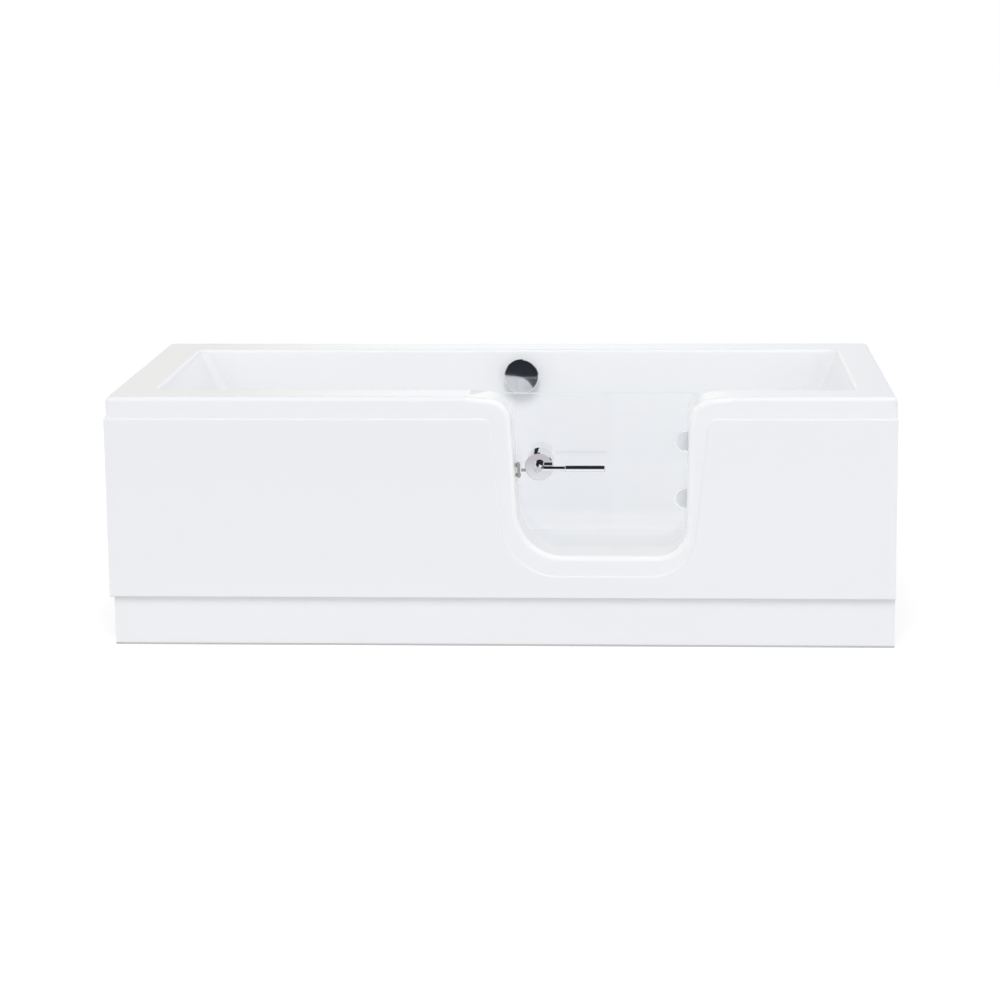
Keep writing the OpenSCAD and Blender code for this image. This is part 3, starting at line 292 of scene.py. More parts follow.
grey_card = card("grey_card", [(-3, CARD_NEAR), (SEAM_NEAR, CARD_NEAR), (SEAM_FAR, CARD_FAR),
                               (-3, CARD_FAR)], (0.62, 0.59, 0.62), (0.88, 0.88, 0.92))
white_card = card("white_card", [(SEAM_NEAR, CARD_NEAR), (3, CARD_NEAR), (3, CARD_FAR),
                                 (SEAM_FAR, CARD_FAR)], (0.93, 0.95, 0.98), (1.12, 1.10, 1.12))
print("cards", grey_card.name, white_card.name)

# %% [markdown]
# ## Outlines
# The tub is drawn with the same rounded outlines as its mechanical model, only with many more
# steps in every curve, because a glossy surface shows each flat facet.

# %% Sizes in millimetres
MM = 0.001
CORNER, EDGE, COVE = 20, 8, 12              # steps in a corner, an edge's radius, the cove
TUB_H, HALF_L = 550, 850
RIM, RIM_Z, RIM_R = (-848, 850, -372, 375), 504, 16
BASIN = (-753, 769, -275, 270)              # x0, x1, y0, y1 at the deck
LIP_Y, WALL_Y = RIM[2], BASIN[2]            # the shell's front, and the basin's front wall
SHELL, DECK_R, BASIN_R = 6, 11, 9           # the sheet, and the radii of the deck's two edges
LEAN_LEFT, LEAN_RIGHT, LEAN_BACK = 28, 24, 7.9
FLOOR_Z, COVE_H = 135, 45
COVE_Z = FLOOR_Z + COVE_H
FLOOR_CORNER, DECK_CORNER = 45, 20          # the basin's corner radius below and above
QUARTER = [(math.sin(a), math.cos(a))
           for a in (math.radians(90 * k / EDGE) for k in range(EDGE + 1))]
print("tub height", TUB_H, "basin depth", TUB_H - FLOOR_Z)

# %% [markdown]
# Looked at from above, the rim and the basin are rounded rectangles. The basin's walls lean and
# run into its floor through a hollow curve, a cove, so each height has its own rectangle.

# %% Rim and basin outlines
def tan(a):
    return math.tan(math.radians(a))


def ring(x0, x1, y0, y1, r, z):
    """A level rounded rectangle, counter-clockwise seen from above."""
    points = []
    for corner, (cx, cy) in enumerate(((x1 - r, y1 - r), (x0 + r, y1 - r),
                                       (x0 + r, y0 + r), (x1 - r, y0 + r))):
        for i in range(CORNER + 1):
            a = math.radians(90 * corner + 90 * i / CORNER)
            points.append((cx + r * math.cos(a), cy + r * math.sin(a), z))
    return points


def rim_ring(inward, z):
    """The rim's outline, drawn in by inward."""
    return ring(RIM[0] + inward, RIM[1] - inward, RIM[2] + inward, RIM[3] - inward,
                RIM_R - inward, z)


def wall_in(lean, z):
    """How far a leaning wall, and the cove below it, has come in at height z."""
    inward = (TUB_H - max(z, COVE_Z)) * tan(lean)
    if z >= COVE_Z:
        return inward
    a = math.radians(lean)
    r = COVE_H / (1 - math.sin(a))
    h = z - FLOOR_Z
    return inward + r * math.cos(a) - math.sqrt(r * r - (r - h) ** 2)


def basin_ring(shape_z, out, z):
    """The basin's outline at shape_z, grown by out and drawn at z."""
    height = max(0, (shape_z - COVE_Z) / (TUB_H - COVE_Z))
    r = FLOOR_CORNER + (DECK_CORNER - FLOOR_CORNER) * height
    return ring(BASIN[0] + wall_in(LEAN_LEFT, shape_z) - out,
                BASIN[1] - wall_in(LEAN_RIGHT, shape_z) + out,
                BASIN[2] + wall_in(0, shape_z) - out,
                BASIN[3] - wall_in(LEAN_BACK, shape_z) + out, r + out, z)


print("points in one ring", len(basin_ring(TUB_H, 0, TUB_H)))

# %% [markdown]
# Looked at from in front, the doorway is a U whose sides lean outwards, with a different radius
# in each lower corner. Its upper corners run out into the deck in wide curves. The front panel
# has the same U, a little larger, so both come from one function.

# %% Doorway outlines
DOORWAY = dict(left=45, right=400, bottom=202, top=TUB_H, leans=(3.5, 1.4), low=(98, 63),
               high=52, dip=9, reach=100, above=1)
PANEL_CUT = dict(left=13, right=411.5, bottom=159, top=RIM_Z, leans=(4.9, 6.2), low=(124, 98),
                 high=20, dip=0, reach=40, above=0.4)


def rounded(points, radii, steps):
    """A flat outline whose corners become arcs."""
    done = []
    for i, radius in enumerate(radii):
        at = np.array(points[i], float)
        if not radius:
            done.append(tuple(at))
            continue
        before = np.array(points[i - 1]) - at
        after = np.array(points[(i + 1) % len(points)]) - at
        u, w = before / np.linalg.norm(before), after / np.linalg.norm(after)
        half = math.acos(u @ w) / 2
        centre = at + (u + w) / np.linalg.norm(u + w) * radius / math.sin(half)
        start = at + u * radius / math.tan(half) - centre
        end = at + w * radius / math.tan(half) - centre
        a = math.atan2(start[1], start[0])
        sweep = (math.atan2(end[1], end[0]) - a + 3 * math.pi) % (2 * math.pi) - math.pi
        for k in range(steps + 1):
            t = a + sweep * k / steps
            done.append(tuple(centre + radius * np.array((math.cos(t), math.sin(t)))))
    return done


def notch(out, left, right, bottom, top, leans, low, high, dip, reach, above):
    """The U of the doorway, grown by out. Its shoulders begin dip below top and rise over reach."""
    def side(x, sign, lean, z):
        return x + sign * (out / math.cos(math.radians(lean)) + (z - bottom) * tan(lean))
    foot, head, edge = bottom - out, top - dip - out, top + above - out
    x0 = left - (top - bottom) * tan(leans[0]) - reach
    x1 = right + (top - bottom) * tan(leans[1]) + reach
    return rounded(
        [(x0, top + 6 * above), (x0, edge), (side(left, -1, leans[0], head), head),
         (side(left, -1, leans[0], foot), foot), (side(right, 1, leans[1], foot), foot),
         (side(right, 1, leans[1], head), head), (x1, edge), (x1, top + 6 * above)],
        [0, 0, high - out, low[0] + out, low[1] + out, high - out, 0, 0], CORNER)


print("points in the doorway", len(notch(0, **DOORWAY)))

# %% [markdown]
# ## Solids from outlines
# A moulded part is a stack of outlines joined into a skin. Cutting one skin with another gives
# openings with true wall thickness. Each skin carries the number of its finish, so a cut face
# gets the finish of the tool that cut it. The materials themselves come at the end.

# %% Skins
MAIN, SECOND, THIRD = 0, 1, 2               # the numbers of a solid's finishes


def solid_from(mesh, name, finish):
    """Makes an object of a bmesh, with room for three finishes."""
    for face in mesh.faces:
        face.material_index = finish
    data = bpy.data.meshes.new(name)
    mesh.to_mesh(data)
    mesh.free()
    solid = bpy.data.objects.new(name, data)
    bpy.context.scene.collection.objects.link(solid)
    for _ in (MAIN, SECOND, THIRD):
        data.materials.append(None)
    return solid


def mesh_object(name, rings, finish=MAIN):
    """A closed solid through rings of equal length, in millimetres."""
    mesh = bmesh.new()
    rows = [[mesh.verts.new([c * MM for c in p]) for p in r] for r in rings]
    n = len(rows[0])
    for low, high in zip(rows, rows[1:]):
        for i in range(n):
            mesh.faces.new((low[i], low[(i + 1) % n], high[(i + 1) % n], high[i]))
    mesh.faces.new(rows[0][::-1])
    mesh.faces.new(rows[-1])
    bmesh.ops.recalc_face_normals(mesh, faces=mesh.faces)
    return solid_from(mesh, name, finish)


def standing(outline, y):
    """An X-Z outline stood up at depth y."""
    return [(x, y, z) for x, z in outline]


def block(name, x0, x1, y0, y1, z0, z1, finish=MAIN):
    corners = [(x0, y0), (x1, y0), (x1, y1), (x0, y1)]
    return mesh_object(name, [[(x, y, z) for x, y in corners] for z in (z0, z1)], finish)


def drum(name, place, axis, radius, depth):
    """A round drill, centred on place, with its length along axis."""
    mesh = bmesh.new()
    turn = Vector(axis).to_track_quat("Z", "Y").to_matrix().to_4x4()
    bmesh.ops.create_cone(mesh, cap_ends=True, segments=96, radius1=radius * MM,
                          radius2=radius * MM, depth=depth * MM,
                          matrix=Matrix.Translation(Vector(place) * MM) @ turn)
    return solid_from(mesh, name, SECOND)


print("makers", [maker.__name__ for maker in (mesh_object, block, drum)])

# %% [markdown]
# A Boolean modifier joins two solids, cuts one with the other, or keeps what they share. Smooth
# shading then hides the steps of the curves, and weighted normals keep wide flats truly flat.

# %% Cut and shade
def combine(solid, tool, how):
    """Joins, cuts or keeps what two solids share, and drops the tool."""
    step = solid.modifiers.new("step", "BOOLEAN")
    step.operation, step.solver, step.object = how, "MANIFOLD", tool
    bpy.context.view_layer.update()
    done = solid.evaluated_get(bpy.context.evaluated_depsgraph_get())
    shape = bpy.data.meshes.new_from_object(done)
    solid.modifiers.clear()
    solid.data = shape
    bpy.data.objects.remove(tool)


def shade(solid, angle=34):
    """Smooth curves, crisp edges, and flats that stay flat."""
    solid.data.polygons.foreach_set("use_smooth", [True] * len(solid.data.polygons))
    solid.data.set_sharp_from_angle(angle=math.radians(angle))
    flat = solid.modifiers.new("flat_faces", "WEIGHTED_NORMAL")
    flat.keep_sharp = True
    flat.weight = 100


print("tools", combine.__name__, shade.__name__)

# %% [markdown]
# ## Tub shell
# The shell is one sheet of acrylic, drawn by vacuum over a mould: deck, turned-down rim, basin,
# and the doorway with its sill. Its edges are all round, because a hot sheet can't be bent
# sharply. The outside of the basin is sprayed with glass fibre and resin. First comes all that
# has volume: the rim's box, the basin's outside, and the doorway's jambs and front band.

# %% Outside of the shell
rim_rings = [rim_ring(0.3, RIM_Z), rim_ring(0, RIM_Z + 0.3)]
rim_rings += [rim_ring(DECK_R * (1 - c), TUB_H - DECK_R * (1 - s)) for s, c in QUARTER]
shell = mesh_object("shell", rim_rings)
hollow = [rim_ring(SHELL, RIM_Z - 5), rim_ring(SHELL, TUB_H - SHELL)]
combine(shell, mesh_object("hollow", hollow, SECOND), "DIFFERENCE")


def cove_rings(out):
    """Rings of the basin from its floor up through the cove to the top of the walls."""
    rings = []
    for k in range(COVE, -1, -1):
        h = COVE_H * (1 - math.sin(math.radians(90 * k / COVE)))
        rings.append(basin_ring(FLOOR_Z + h, out, FLOOR_Z + h - out * k / COVE))
    for k in range(1, 6):
        z = COVE_Z + (TUB_H - 20 - COVE_Z) * k / 6
        rings.append(basin_ring(z, out, z))
    return rings


outside = cove_rings(SHELL) + [basin_ring(TUB_H - 3, SHELL, TUB_H - 3)]
combine(shell, mesh_object("outside", outside, SECOND), "UNION")

TRIM = (BASIN[0], BASIN[1], LIP_Y - 8, WALL_Y + 5, 0)
BAND = 12                                   # how far the front band shows round the opening
jamb_rings = [standing(notch(SHELL, **DOORWAY), y) for y in (LIP_Y, WALL_Y - 3)]
jambs = mesh_object("jambs", jamb_rings, SECOND)
combine(jambs, block("trim", *TRIM, TUB_H - 3, SECOND), "INTERSECT")
band_rings = [standing(notch(BAND, **PANEL_CUT), y) for y in (LIP_Y, LIP_Y + SHELL)]
band = mesh_object("band", band_rings)
combine(band, block("trim", *TRIM, RIM_Z + 6), "INTERSECT")
combine(shell, jambs, "UNION")
combine(shell, band, "UNION")
print("faces of the outside", len(shell.data.polygons))

# %% [markdown]
# Then comes all that is cut away: the basin's inside, whose upper edge flares out in a quarter
# round, and the doorway, which flares the same way towards the room and a little towards the
# water. The doorway's faces have a finish of their own, a shade whiter than the rest of the same
# sheet: painted light, which makes up for the shade that the sill and jambs get.

# %% Inside and doorway
inside = cove_rings(0)
inside += [basin_ring(TUB_H - BASIN_R, BASIN_R * (1 - c), TUB_H - BASIN_R * (1 - s))
           for s, c in QUARTER]
inside.append(basin_ring(TUB_H - BASIN_R, BASIN_R, TUB_H + 4))
combine(shell, mesh_object("inside", inside), "DIFFERENCE")

WATER_R = 3
planes = [(WALL_Y + 5, WATER_R)]
planes += [(WALL_Y - WATER_R + WATER_R * s, WATER_R * (1 - c)) for s, c in reversed(QUARTER)]
planes += [(LIP_Y + DECK_R - DECK_R * s, DECK_R * (1 - c)) for s, c in QUARTER]
planes.append((LIP_Y - 6, DECK_R))
# The doorway's faces take the third finish, the whiter copy of the acrylic that is painted light.
way_in = mesh_object("way_in", [standing(notch(out, **DOORWAY), y) for y, out in planes], THIRD)
combine(shell, way_in, "DIFFERENCE")
print("faces with the doorway", len(shell.data.polygons))

# %% [markdown]
# Last come the two drilled holes, for the waste in the floor and the overflow in the back wall.
# The overflow's hole stands square to the leaning wall.

# %% Holes, and the shell handed over
DRAIN_X, WASTE_Y, WASTE_R = 19, 60, 26
OVERFLOW_Z, OVERFLOW_R = 487, 25.5
combine(shell, drum("waste_hole", (DRAIN_X, WASTE_Y, FLOOR_Z - 5), (0, 0, 1), WASTE_R, 40),
        "DIFFERENCE")
overflow_y = BASIN[3] - (TUB_H - OVERFLOW_Z) * tan(LEAN_BACK)
lean = math.radians(LEAN_BACK)
combine(shell, drum("overflow_hole", (DRAIN_X, overflow_y, OVERFLOW_Z),
                    (0, -math.cos(lean), math.sin(lean)), OVERFLOW_R, 40), "DIFFERENCE")
shell.name = "tub_shell_moulding"
shade(shell)
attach(shell, "tub")
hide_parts("tub_shell")
print("shell faces", len(shell.data.polygons))

# %% [markdown]
# ## Front panel
# The panel is a thin sheet whose four edges are turned back. It is drawn as a section in Y and Z
# and pulled along the tub, which keeps the sheet's thickness true all round. Where it follows
# the doorway its cut edge is rounded over, and that small radius draws the bright line round the
# opening.

# %% Front panel
SHEET, TOP_R, BACK_Y = 3, 6, LIP_Y
FOOT_Z, FLANGE_Y = 109, -350
front = [(BACK_Y, RIM_Z)]
front += [(BACK_Y - SHEET * s, RIM_Z - TOP_R + TOP_R * c) for s, c in QUARTER[1:]]
front += [(BACK_Y - SHEET, FOOT_Z + SHEET)]
front += [(BACK_Y - SHEET * c, FOOT_Z + SHEET - SHEET * s) for s, c in QUARTER[1:]]
section = front + [(FLANGE_Y, FOOT_Z), (FLANGE_Y, FOOT_Z + SHEET), (BACK_Y, FOOT_Z + SHEET),
                   (BACK_Y, RIM_Z - SHEET), (FLANGE_Y, RIM_Z - SHEET), (FLANGE_Y, RIM_Z)]
panel = mesh_object("panel", [[(x, y, z) for y, z in section] for x in (-HALF_L, HALF_L)])

LOWEST, HIGHEST = FOOT_Z + 1.5, RIM_Z - 1.5  # the end walls stay inside the flanges
cap = [(y + 0.4, min(max(z, LOWEST), HIGHEST)) for y, z in front]
cap += [(FLANGE_Y, LOWEST), (FLANGE_Y, HIGHEST)]
for x in (-HALF_L, HALF_L - SHEET):
    end_wall = mesh_object("end", [[(at, y, z) for y, z in cap] for at in (x, x + SHEET)])
    combine(panel, end_wall, "UNION")
print("faces without the opening", len(panel.data.polygons))

# %% [markdown]
# The opening is cut with a tool that widens towards the front in a quarter round. The upper
# flange stops short of the opening on both sides, where the tub's own band passes through.

# %% Opening of the panel
cut = [(BACK_Y - 8, TOP_R)]
cut += [(BACK_Y - SHEET * s, TOP_R * (1 - c)) for s, c in reversed(QUARTER)]
cut.append((BACK_Y + 12, 0))
opening = mesh_object("opening", [standing(notch(out, **PANEL_CUT), y) for y, out in cut])
combine(panel, opening, "DIFFERENCE")

rise, past = PANEL_CUT["top"] - PANEL_CUT["bottom"], PANEL_CUT["reach"] + 0.3
gap_x0 = PANEL_CUT["left"] - rise * tan(PANEL_CUT["leans"][0]) - past
gap_x1 = PANEL_CUT["right"] + rise * tan(PANEL_CUT["leans"][1]) + past
combine(panel, block("flange_gap", gap_x0, gap_x1, BACK_Y, FLANGE_Y + 5, RIM_Z - 6, RIM_Z + 5),
        "DIFFERENCE")
panel.name = "panel_sheet"
shade(panel)
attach(panel, "tub")
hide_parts("front_panel")
print("panel faces", len(panel.data.polygons))

# %% [markdown]
# ## Plinth
# The plinth is a board under the panel, set back by a finger's width. Its lower edge is rounded
# off and stands on a thin grey strip, set back under that edge, whose grey is painted shade: it
# draws the dark contact shadow along the floor.

# %% Plinth
PLINTH_X, PLINTH_Y, BOARD, STRIP = -842, -365, 12, 3
foot = rounded([(PLINTH_Y, FOOT_Z), (PLINTH_Y, STRIP), (PLINTH_Y + BOARD, STRIP),
                (PLINTH_Y + BOARD, FOOT_Z)], [1, 3, 0, 0.5], 6)
plinth = mesh_object("plinth_board", [[(x, y, z) for y, z in foot] for x in (PLINTH_X, HALF_L)])
combine(plinth, block("turned_end", PLINTH_X, PLINTH_X + BOARD, -354, -317, STRIP, FOOT_Z),
        "UNION")
# The grey strip at the floor: painted shade for the contact shadow under the plinth.
combine(plinth, block("contact_shadow_strip", PLINTH_X, HALF_L, PLINTH_Y + 1, -354, 0, STRIP + 1, SECOND),
        "UNION")
shade(plinth)
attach(plinth, "tub")
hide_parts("plinth")
print("plinth faces", len(plinth.data.polygons))

# %% [markdown]
# ## Door glass
# The pane is cut, drilled and ground before it is toughened. Its faces are clear, but the ground
# rim scatters light, so every edge shows as a pale line. The small bevels are what the grinder
# leaves so that nobody gets cut. Clear glass hardly dims the light that falls through it, but the
# renderer would give it a grey shadow, so the pane's shadow is switched off.

# %% Door glass
GLASS_X, GLASS_Z = (-18, 446), (170, 541)
GLASS_Y, BEVEL = (-271, -263), 1
GLASS_R = (6, 92, 60, 6)                    # from the upper left corner down and round
LOCK_X, LOCK_Z, SPINDLE_R = 85, 390, 12


def pane(inset):
    """The pane's outline, drawn in by inset."""
    x0, x1 = GLASS_X[0] + inset, GLASS_X[1] - inset
    z0, z1 = GLASS_Z[0] + inset, GLASS_Z[1] - inset
    return rounded([(x0, z1), (x0, z0), (x1, z0), (x1, z1)], [r - inset for r in GLASS_R],
                   CORNER)


pane_rings = [standing(pane(BEVEL), GLASS_Y[0]), standing(pane(0), GLASS_Y[0] + BEVEL),
              standing(pane(0), GLASS_Y[1] - BEVEL), standing(pane(BEVEL), GLASS_Y[1])]
door_pane = mesh_object("door_pane", pane_rings, SECOND)
for face in door_pane.data.polygons:
    face.material_index = MAIN if abs(face.normal.y) > 0.99 else SECOND
middle_y = sum(GLASS_Y) / 2
combine(door_pane, drum("spindle_hole", (LOCK_X, middle_y, LOCK_Z), (0, 1, 0), SPINDLE_R, 20),
        "DIFFERENCE")
shade(door_pane)
door_pane.visible_diffuse = door_pane.visible_shadow = False
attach(door_pane, "door")
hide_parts("door_glass")
print("pane faces", len(door_pane.data.polygons))

# %% [markdown]
# ## Overflow hose
# The hose drops from the overflow, turns a quarter circle and runs forward to the trap. Its ribs
# are soft waves, as they come off the moulding machine, with a plain cuff at each end. It is
# made of rings whose radius follows a cosine, which gives round ribs without any cutting.

# %% Overflow hose
HOSE_Y, HOSE_Z, HOSE_TOP, HOSE_END = 322, 66, 430, 119
HOSE_R, HOSE_BEND, PITCH, SIDES, RIB_STEPS = 13, 60, 6, 32, 8
RIB_DEPTH = 1.5
DROP, ARC = HOSE_TOP - HOSE_Z - HOSE_BEND, HOSE_BEND * math.pi / 2
HOSE_L = DROP + ARC + HOSE_Y - HOSE_BEND - HOSE_END


def along(s):
    """Place and direction of the hose's middle line at length s, in Y and Z."""
    if s < DROP:
        return (HOSE_Y, HOSE_TOP - s), (0, -1)
    if s < DROP + ARC:
        a = (s - DROP) / HOSE_BEND
        return ((HOSE_Y - HOSE_BEND * (1 - math.cos(a)),
                 HOSE_Z + HOSE_BEND * (1 - math.sin(a))), (-math.sin(a), -math.cos(a)))
    return (HOSE_Y - HOSE_BEND - (s - DROP - ARC), HOSE_Z), (-1, 0)


def hose_ring(s, r):
    """A ring of radius r square to the hose's middle line at length s."""
    (y, z), (dy, dz) = along(s)
    turns = [math.tau * i / SIDES for i in range(SIDES)]
    return [(DRAIN_X + r * math.cos(a), y + r * math.sin(a) * dz, z - r * math.sin(a) * dy)
            for a in turns]


ribs = int((HOSE_L - 4 * HOSE_R) // PITCH)
first_rib = (HOSE_L - ribs * PITCH) / 2
last = ribs * RIB_STEPS
hose_rings = []
for k in range(last + 1):
    s = 0 if k == 0 else HOSE_L if k == last else first_rib + k * PITCH / RIB_STEPS
    wave = 1 + math.cos(math.tau * k / RIB_STEPS)
    hose_rings.append(hose_ring(s, HOSE_R - RIB_DEPTH / 2 * wave))
for k, s in ((1, first_rib), (-2, HOSE_L - first_rib)):
    hose_rings.insert(k, hose_ring(s, HOSE_R - RIB_DEPTH))
hose = mesh_object("ribbed_hose", hose_rings)
shade(hose, 60)
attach(hose, "tub")
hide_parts("overflow_hose")
print("ribs", ribs)

# %% [markdown]
# ## Finishes
# Each finish starts from the shader's own sockets and adds what the eye would miss if it were
# not there: the faint waves of a moulded sheet, the haze of handling on chrome, the pores of
# rubber. Effects that several finishes share are node groups, built once. Nearly all of them
# blend two tones and vary the roughness, so two helpers make such a group's ends.

# %% Helpers for shared effects
WHITE = (1, 1, 1, 1)


def new_group(name, inputs, outputs=("Colour", "Roughness")):
    """An empty node group with named inputs and outputs, and its two end nodes."""
    group = bpy.data.node_groups.new(name, "ShaderNodeTree")
    for title, value in inputs.items():
        kind = "NodeSocketColor" if isinstance(value, tuple) else "NodeSocketFloat"
        socket = group.interface.new_socket(title, in_out="INPUT", socket_type=kind)
        socket.default_value = value
    for title in outputs:
        kind = "NodeSocketColor" if title == "Colour" else "NodeSocketFloat"
        group.interface.new_socket(title, in_out="OUTPUT", socket_type=kind)
    return group, group.nodes.new("NodeGroupInput"), group.nodes.new("NodeGroupOutput")


def two_tones(name, scale, rough, spread):
    """A new group that takes two tones and a roughness with its spread."""
    return new_group(name, {"Colour": WHITE, "Tint": WHITE, "Scale": scale,
                            "Roughness": rough, "Spread": spread})


def put_out(group, start, end, cover, second, change):
    """Blends Colour with the second colour by cover, and adds change to Roughness."""
    blend = mixed(group, cover, start.outputs["Colour"], start.outputs[second])
    group.links.new(blend, end.inputs["Colour"])
    rough = math_node(group, "ADD", change, start.outputs["Roughness"])
    group.links.new(rough, end.inputs["Roughness"])
    return group


def about_zero(group, start, source):
    """A value from 0 to 1, moved about zero and scaled by the group's Spread."""
    centred = math_node(group, "SUBTRACT", source, 0.5)
    return math_node(group, "MULTIPLY", centred, start.outputs["Spread"])


def noise(tree, scale, detail=2.0, stretch=(1, 1, 1)):
    """Noise over the object's own space, in waves per metre."""
    place = node_of(tree, "ShaderNodeTexCoord")
    fit = node_of(tree, "ShaderNodeMapping", Scale=stretch)
    tree.links.new(place.outputs["Object"], fit.inputs["Vector"])
    cloud = node_of(tree, "ShaderNodeTexNoise", Detail=detail)
    tree.links.new(fit.outputs[0], cloud.inputs["Vector"])
    if isinstance(scale, float):
        cloud.inputs["Scale"].default_value = scale
    else:
        tree.links.new(scale, cloud.inputs["Scale"])
    return cloud.outputs["Fac"]


print("helpers for groups ready")

# %% [markdown]
# Two effects serve moulded and cast surfaces. Slow drift lets colour and gloss wander a little,
# as they do on everything that has been handled. Ripple and peel is the relief of a sheet:
# long waves from the mould with a fine orange peel on top.

# %% Slow drift, ripple and peel
def cloudy_effect():
    """Colour and roughness that drift a little over the surface."""
    group, start, end = two_tones("slow_drift", 6.0, 0.2, 0.05)
    cloud = noise(group, start.outputs["Scale"], 3.0)
    return put_out(group, start, end, cloud, "Tint", about_zero(group, start, cloud))


def ripple_effect():
    """Height of long waves with fine peel on top, in metres."""
    group, start, end = new_group(
        "ripple_and_peel", {"Wave Scale": 3.0, "Wave Height": 0.0003, "Peel Scale": 400.0,
                            "Peel Height": 0.000004}, ["Height"])
    wave = noise(group, start.outputs["Wave Scale"], 1.0)
    peel = noise(group, start.outputs["Peel Scale"], 2.0)
    low = math_node(group, "MULTIPLY", wave, start.outputs["Wave Height"])
    high = math_node(group, "MULTIPLY", peel, start.outputs["Peel Height"])
    group.links.new(math_node(group, "ADD", low, high), end.inputs["Height"])
    return group


DRIFT, RIPPLE = cloudy_effect(), ripple_effect()
print("effects", DRIFT.name, RIPPLE.name)

# %% [markdown]
# Three effects serve the hidden frame. Flecks are cells of uneven tone: zinc crystals, wood
# chips or chopped fibre, depending on their size and colours. Grain stretches noise along the
# wood. Dust lies only where a face looks up, and thinly.

# %% Flecks, grain and dust
def flecked_effect():
    """Angular flecks in two tones: zinc crystals, wood chips or chopped fibre."""
    group, start, end = two_tones("flecks", 200.0, 0.4, 0.2)
    place = node_of(group, "ShaderNodeTexCoord")
    fit = node_of(group, "ShaderNodeMapping", Scale=(1.0, 0.45, 0.7), Rotation=(0.5, 0.3, 0.7))
    group.links.new(place.outputs["Object"], fit.inputs["Vector"])
    cells = node_of(group, "ShaderNodeTexVoronoi", Randomness=1.0)
    group.links.new(fit.outputs[0], cells.inputs["Vector"])
    group.links.new(start.outputs["Scale"], cells.inputs["Scale"])
    tone = node_of(group, "ShaderNodeSeparateColor")
    group.links.new(cells.outputs["Color"], tone.inputs[0])
    cover = math_node(group, "MULTIPLY", tone.outputs[0], tone.outputs[1])
    return put_out(group, start, end, cover, "Tint", about_zero(group, start, tone.outputs[2]))


def grain_effect():
    """Long fibres of wood that run along X."""
    group, start, end = two_tones("wood_grain", 40.0, 0.7, 0.15)
    fibres = noise(group, start.outputs["Scale"], 4.0, (0.05, 1.0, 1.0))
    growth = math_node(group, "SINE", math_node(group, "MULTIPLY", fibres, 38.0), 0)
    cover = math_node(group, "ADD", math_node(group, "MULTIPLY", growth, 0.35), fibres)
    change = math_node(group, "MULTIPLY", growth, start.outputs["Spread"])
    return put_out(group, start, end, cover, "Tint", change)


def dust_effect():
    """Dust that has settled on faces that look up, thin and patchy."""
    group, start, end = new_group("settled_dust", {"Colour": WHITE, "Dust": WHITE,
                                                   "Amount": 0.3, "Roughness": 0.5})
    form = node_of(group, "ShaderNodeNewGeometry")
    split = node_of(group, "ShaderNodeSeparateXYZ")
    group.links.new(form.outputs["Normal"], split.inputs[0])
    top = node_of(group, "ShaderNodeMapRange", **{"From Min": 0.2, "From Max": 0.9})
    group.links.new(split.outputs["Z"], top.inputs["Value"])
    patchy = math_node(group, "MULTIPLY", noise(group, 35.0, 4.0), start.outputs["Amount"])
    cover = math_node(group, "MULTIPLY", top.outputs[0], patchy)
    return put_out(group, start, end, cover, "Dust", math_node(group, "MULTIPLY", cover, 0.5))


FLECKS, GRAIN, DUST = flecked_effect(), grain_effect(), dust_effect()
print("effects", FLECKS.name, GRAIN.name, DUST.name)

# %% [markdown]
# One function builds every finish. It sets the shader's fixed values, lays the two tones and
# the dust over it, and adds relief where the material has any. The waves are, in this order,
# the scale and height of the long ones and the scale and height of the peel.

# %% One finish
DUST_COLOUR = (0.55, 0.53, 0.50, 1)


def finish_of(name, colour, tint, rough, spread, scale, waves=None, effect=DRIFT, dust=0.0,
              **sockets):
    """A finish: two tones mixed by an effect, optional dust and relief, fixed shader values."""
    material = bpy.data.materials.new(name)
    material.use_nodes = True
    tree = material.node_tree
    shader = tree.nodes["Principled BSDF"]
    for socket, value in sockets.items():
        shader.inputs[socket.replace("_", " ")].default_value = value
    base = node_of(tree, "ShaderNodeGroup", node_tree=effect, Scale=scale, Roughness=rough,
                   Spread=spread, Colour=(*colour, 1), Tint=(*tint, 1))
    if dust:
        under, base = base, node_of(tree, "ShaderNodeGroup", node_tree=DUST, Amount=dust,
                                    Dust=DUST_COLOUR)
        for socket in ("Colour", "Roughness"):
            tree.links.new(under.outputs[socket], base.inputs[socket])
    tree.links.new(base.outputs["Colour"], shader.inputs["Base Color"])
    tree.links.new(base.outputs["Roughness"], shader.inputs["Roughness"])
    if waves:
        relief = node_of(tree, "ShaderNodeGroup", node_tree=RIPPLE)
        for socket, value in zip(relief.inputs, waves):
            socket.default_value = value
        bump = node_of(tree, "ShaderNodeBump", Distance=1.0)
        tree.links.new(relief.outputs["Height"], bump.inputs["Height"])
        tree.links.new(bump.outputs[0], shader.inputs["Normal"])
    return material


print("finish maker", finish_of.__name__)

# %% [markdown]
# The sheet is cast acrylic: glossy, almost without colour, with waves that only a reflection
# shows. The panel is thinner and waves more. The back of the tub is sprayed with chopped fibre
# and resin, which stays rough and yellowish.

# %% Acrylic and fibre
acrylic = finish_of("white_acrylic", (0.945, 0.952, 0.965), (0.937, 0.945, 0.960), 0.15, 0.04, 4,
                    (2.5, 0.00004, 500, 0.000001), IOR=1.49)
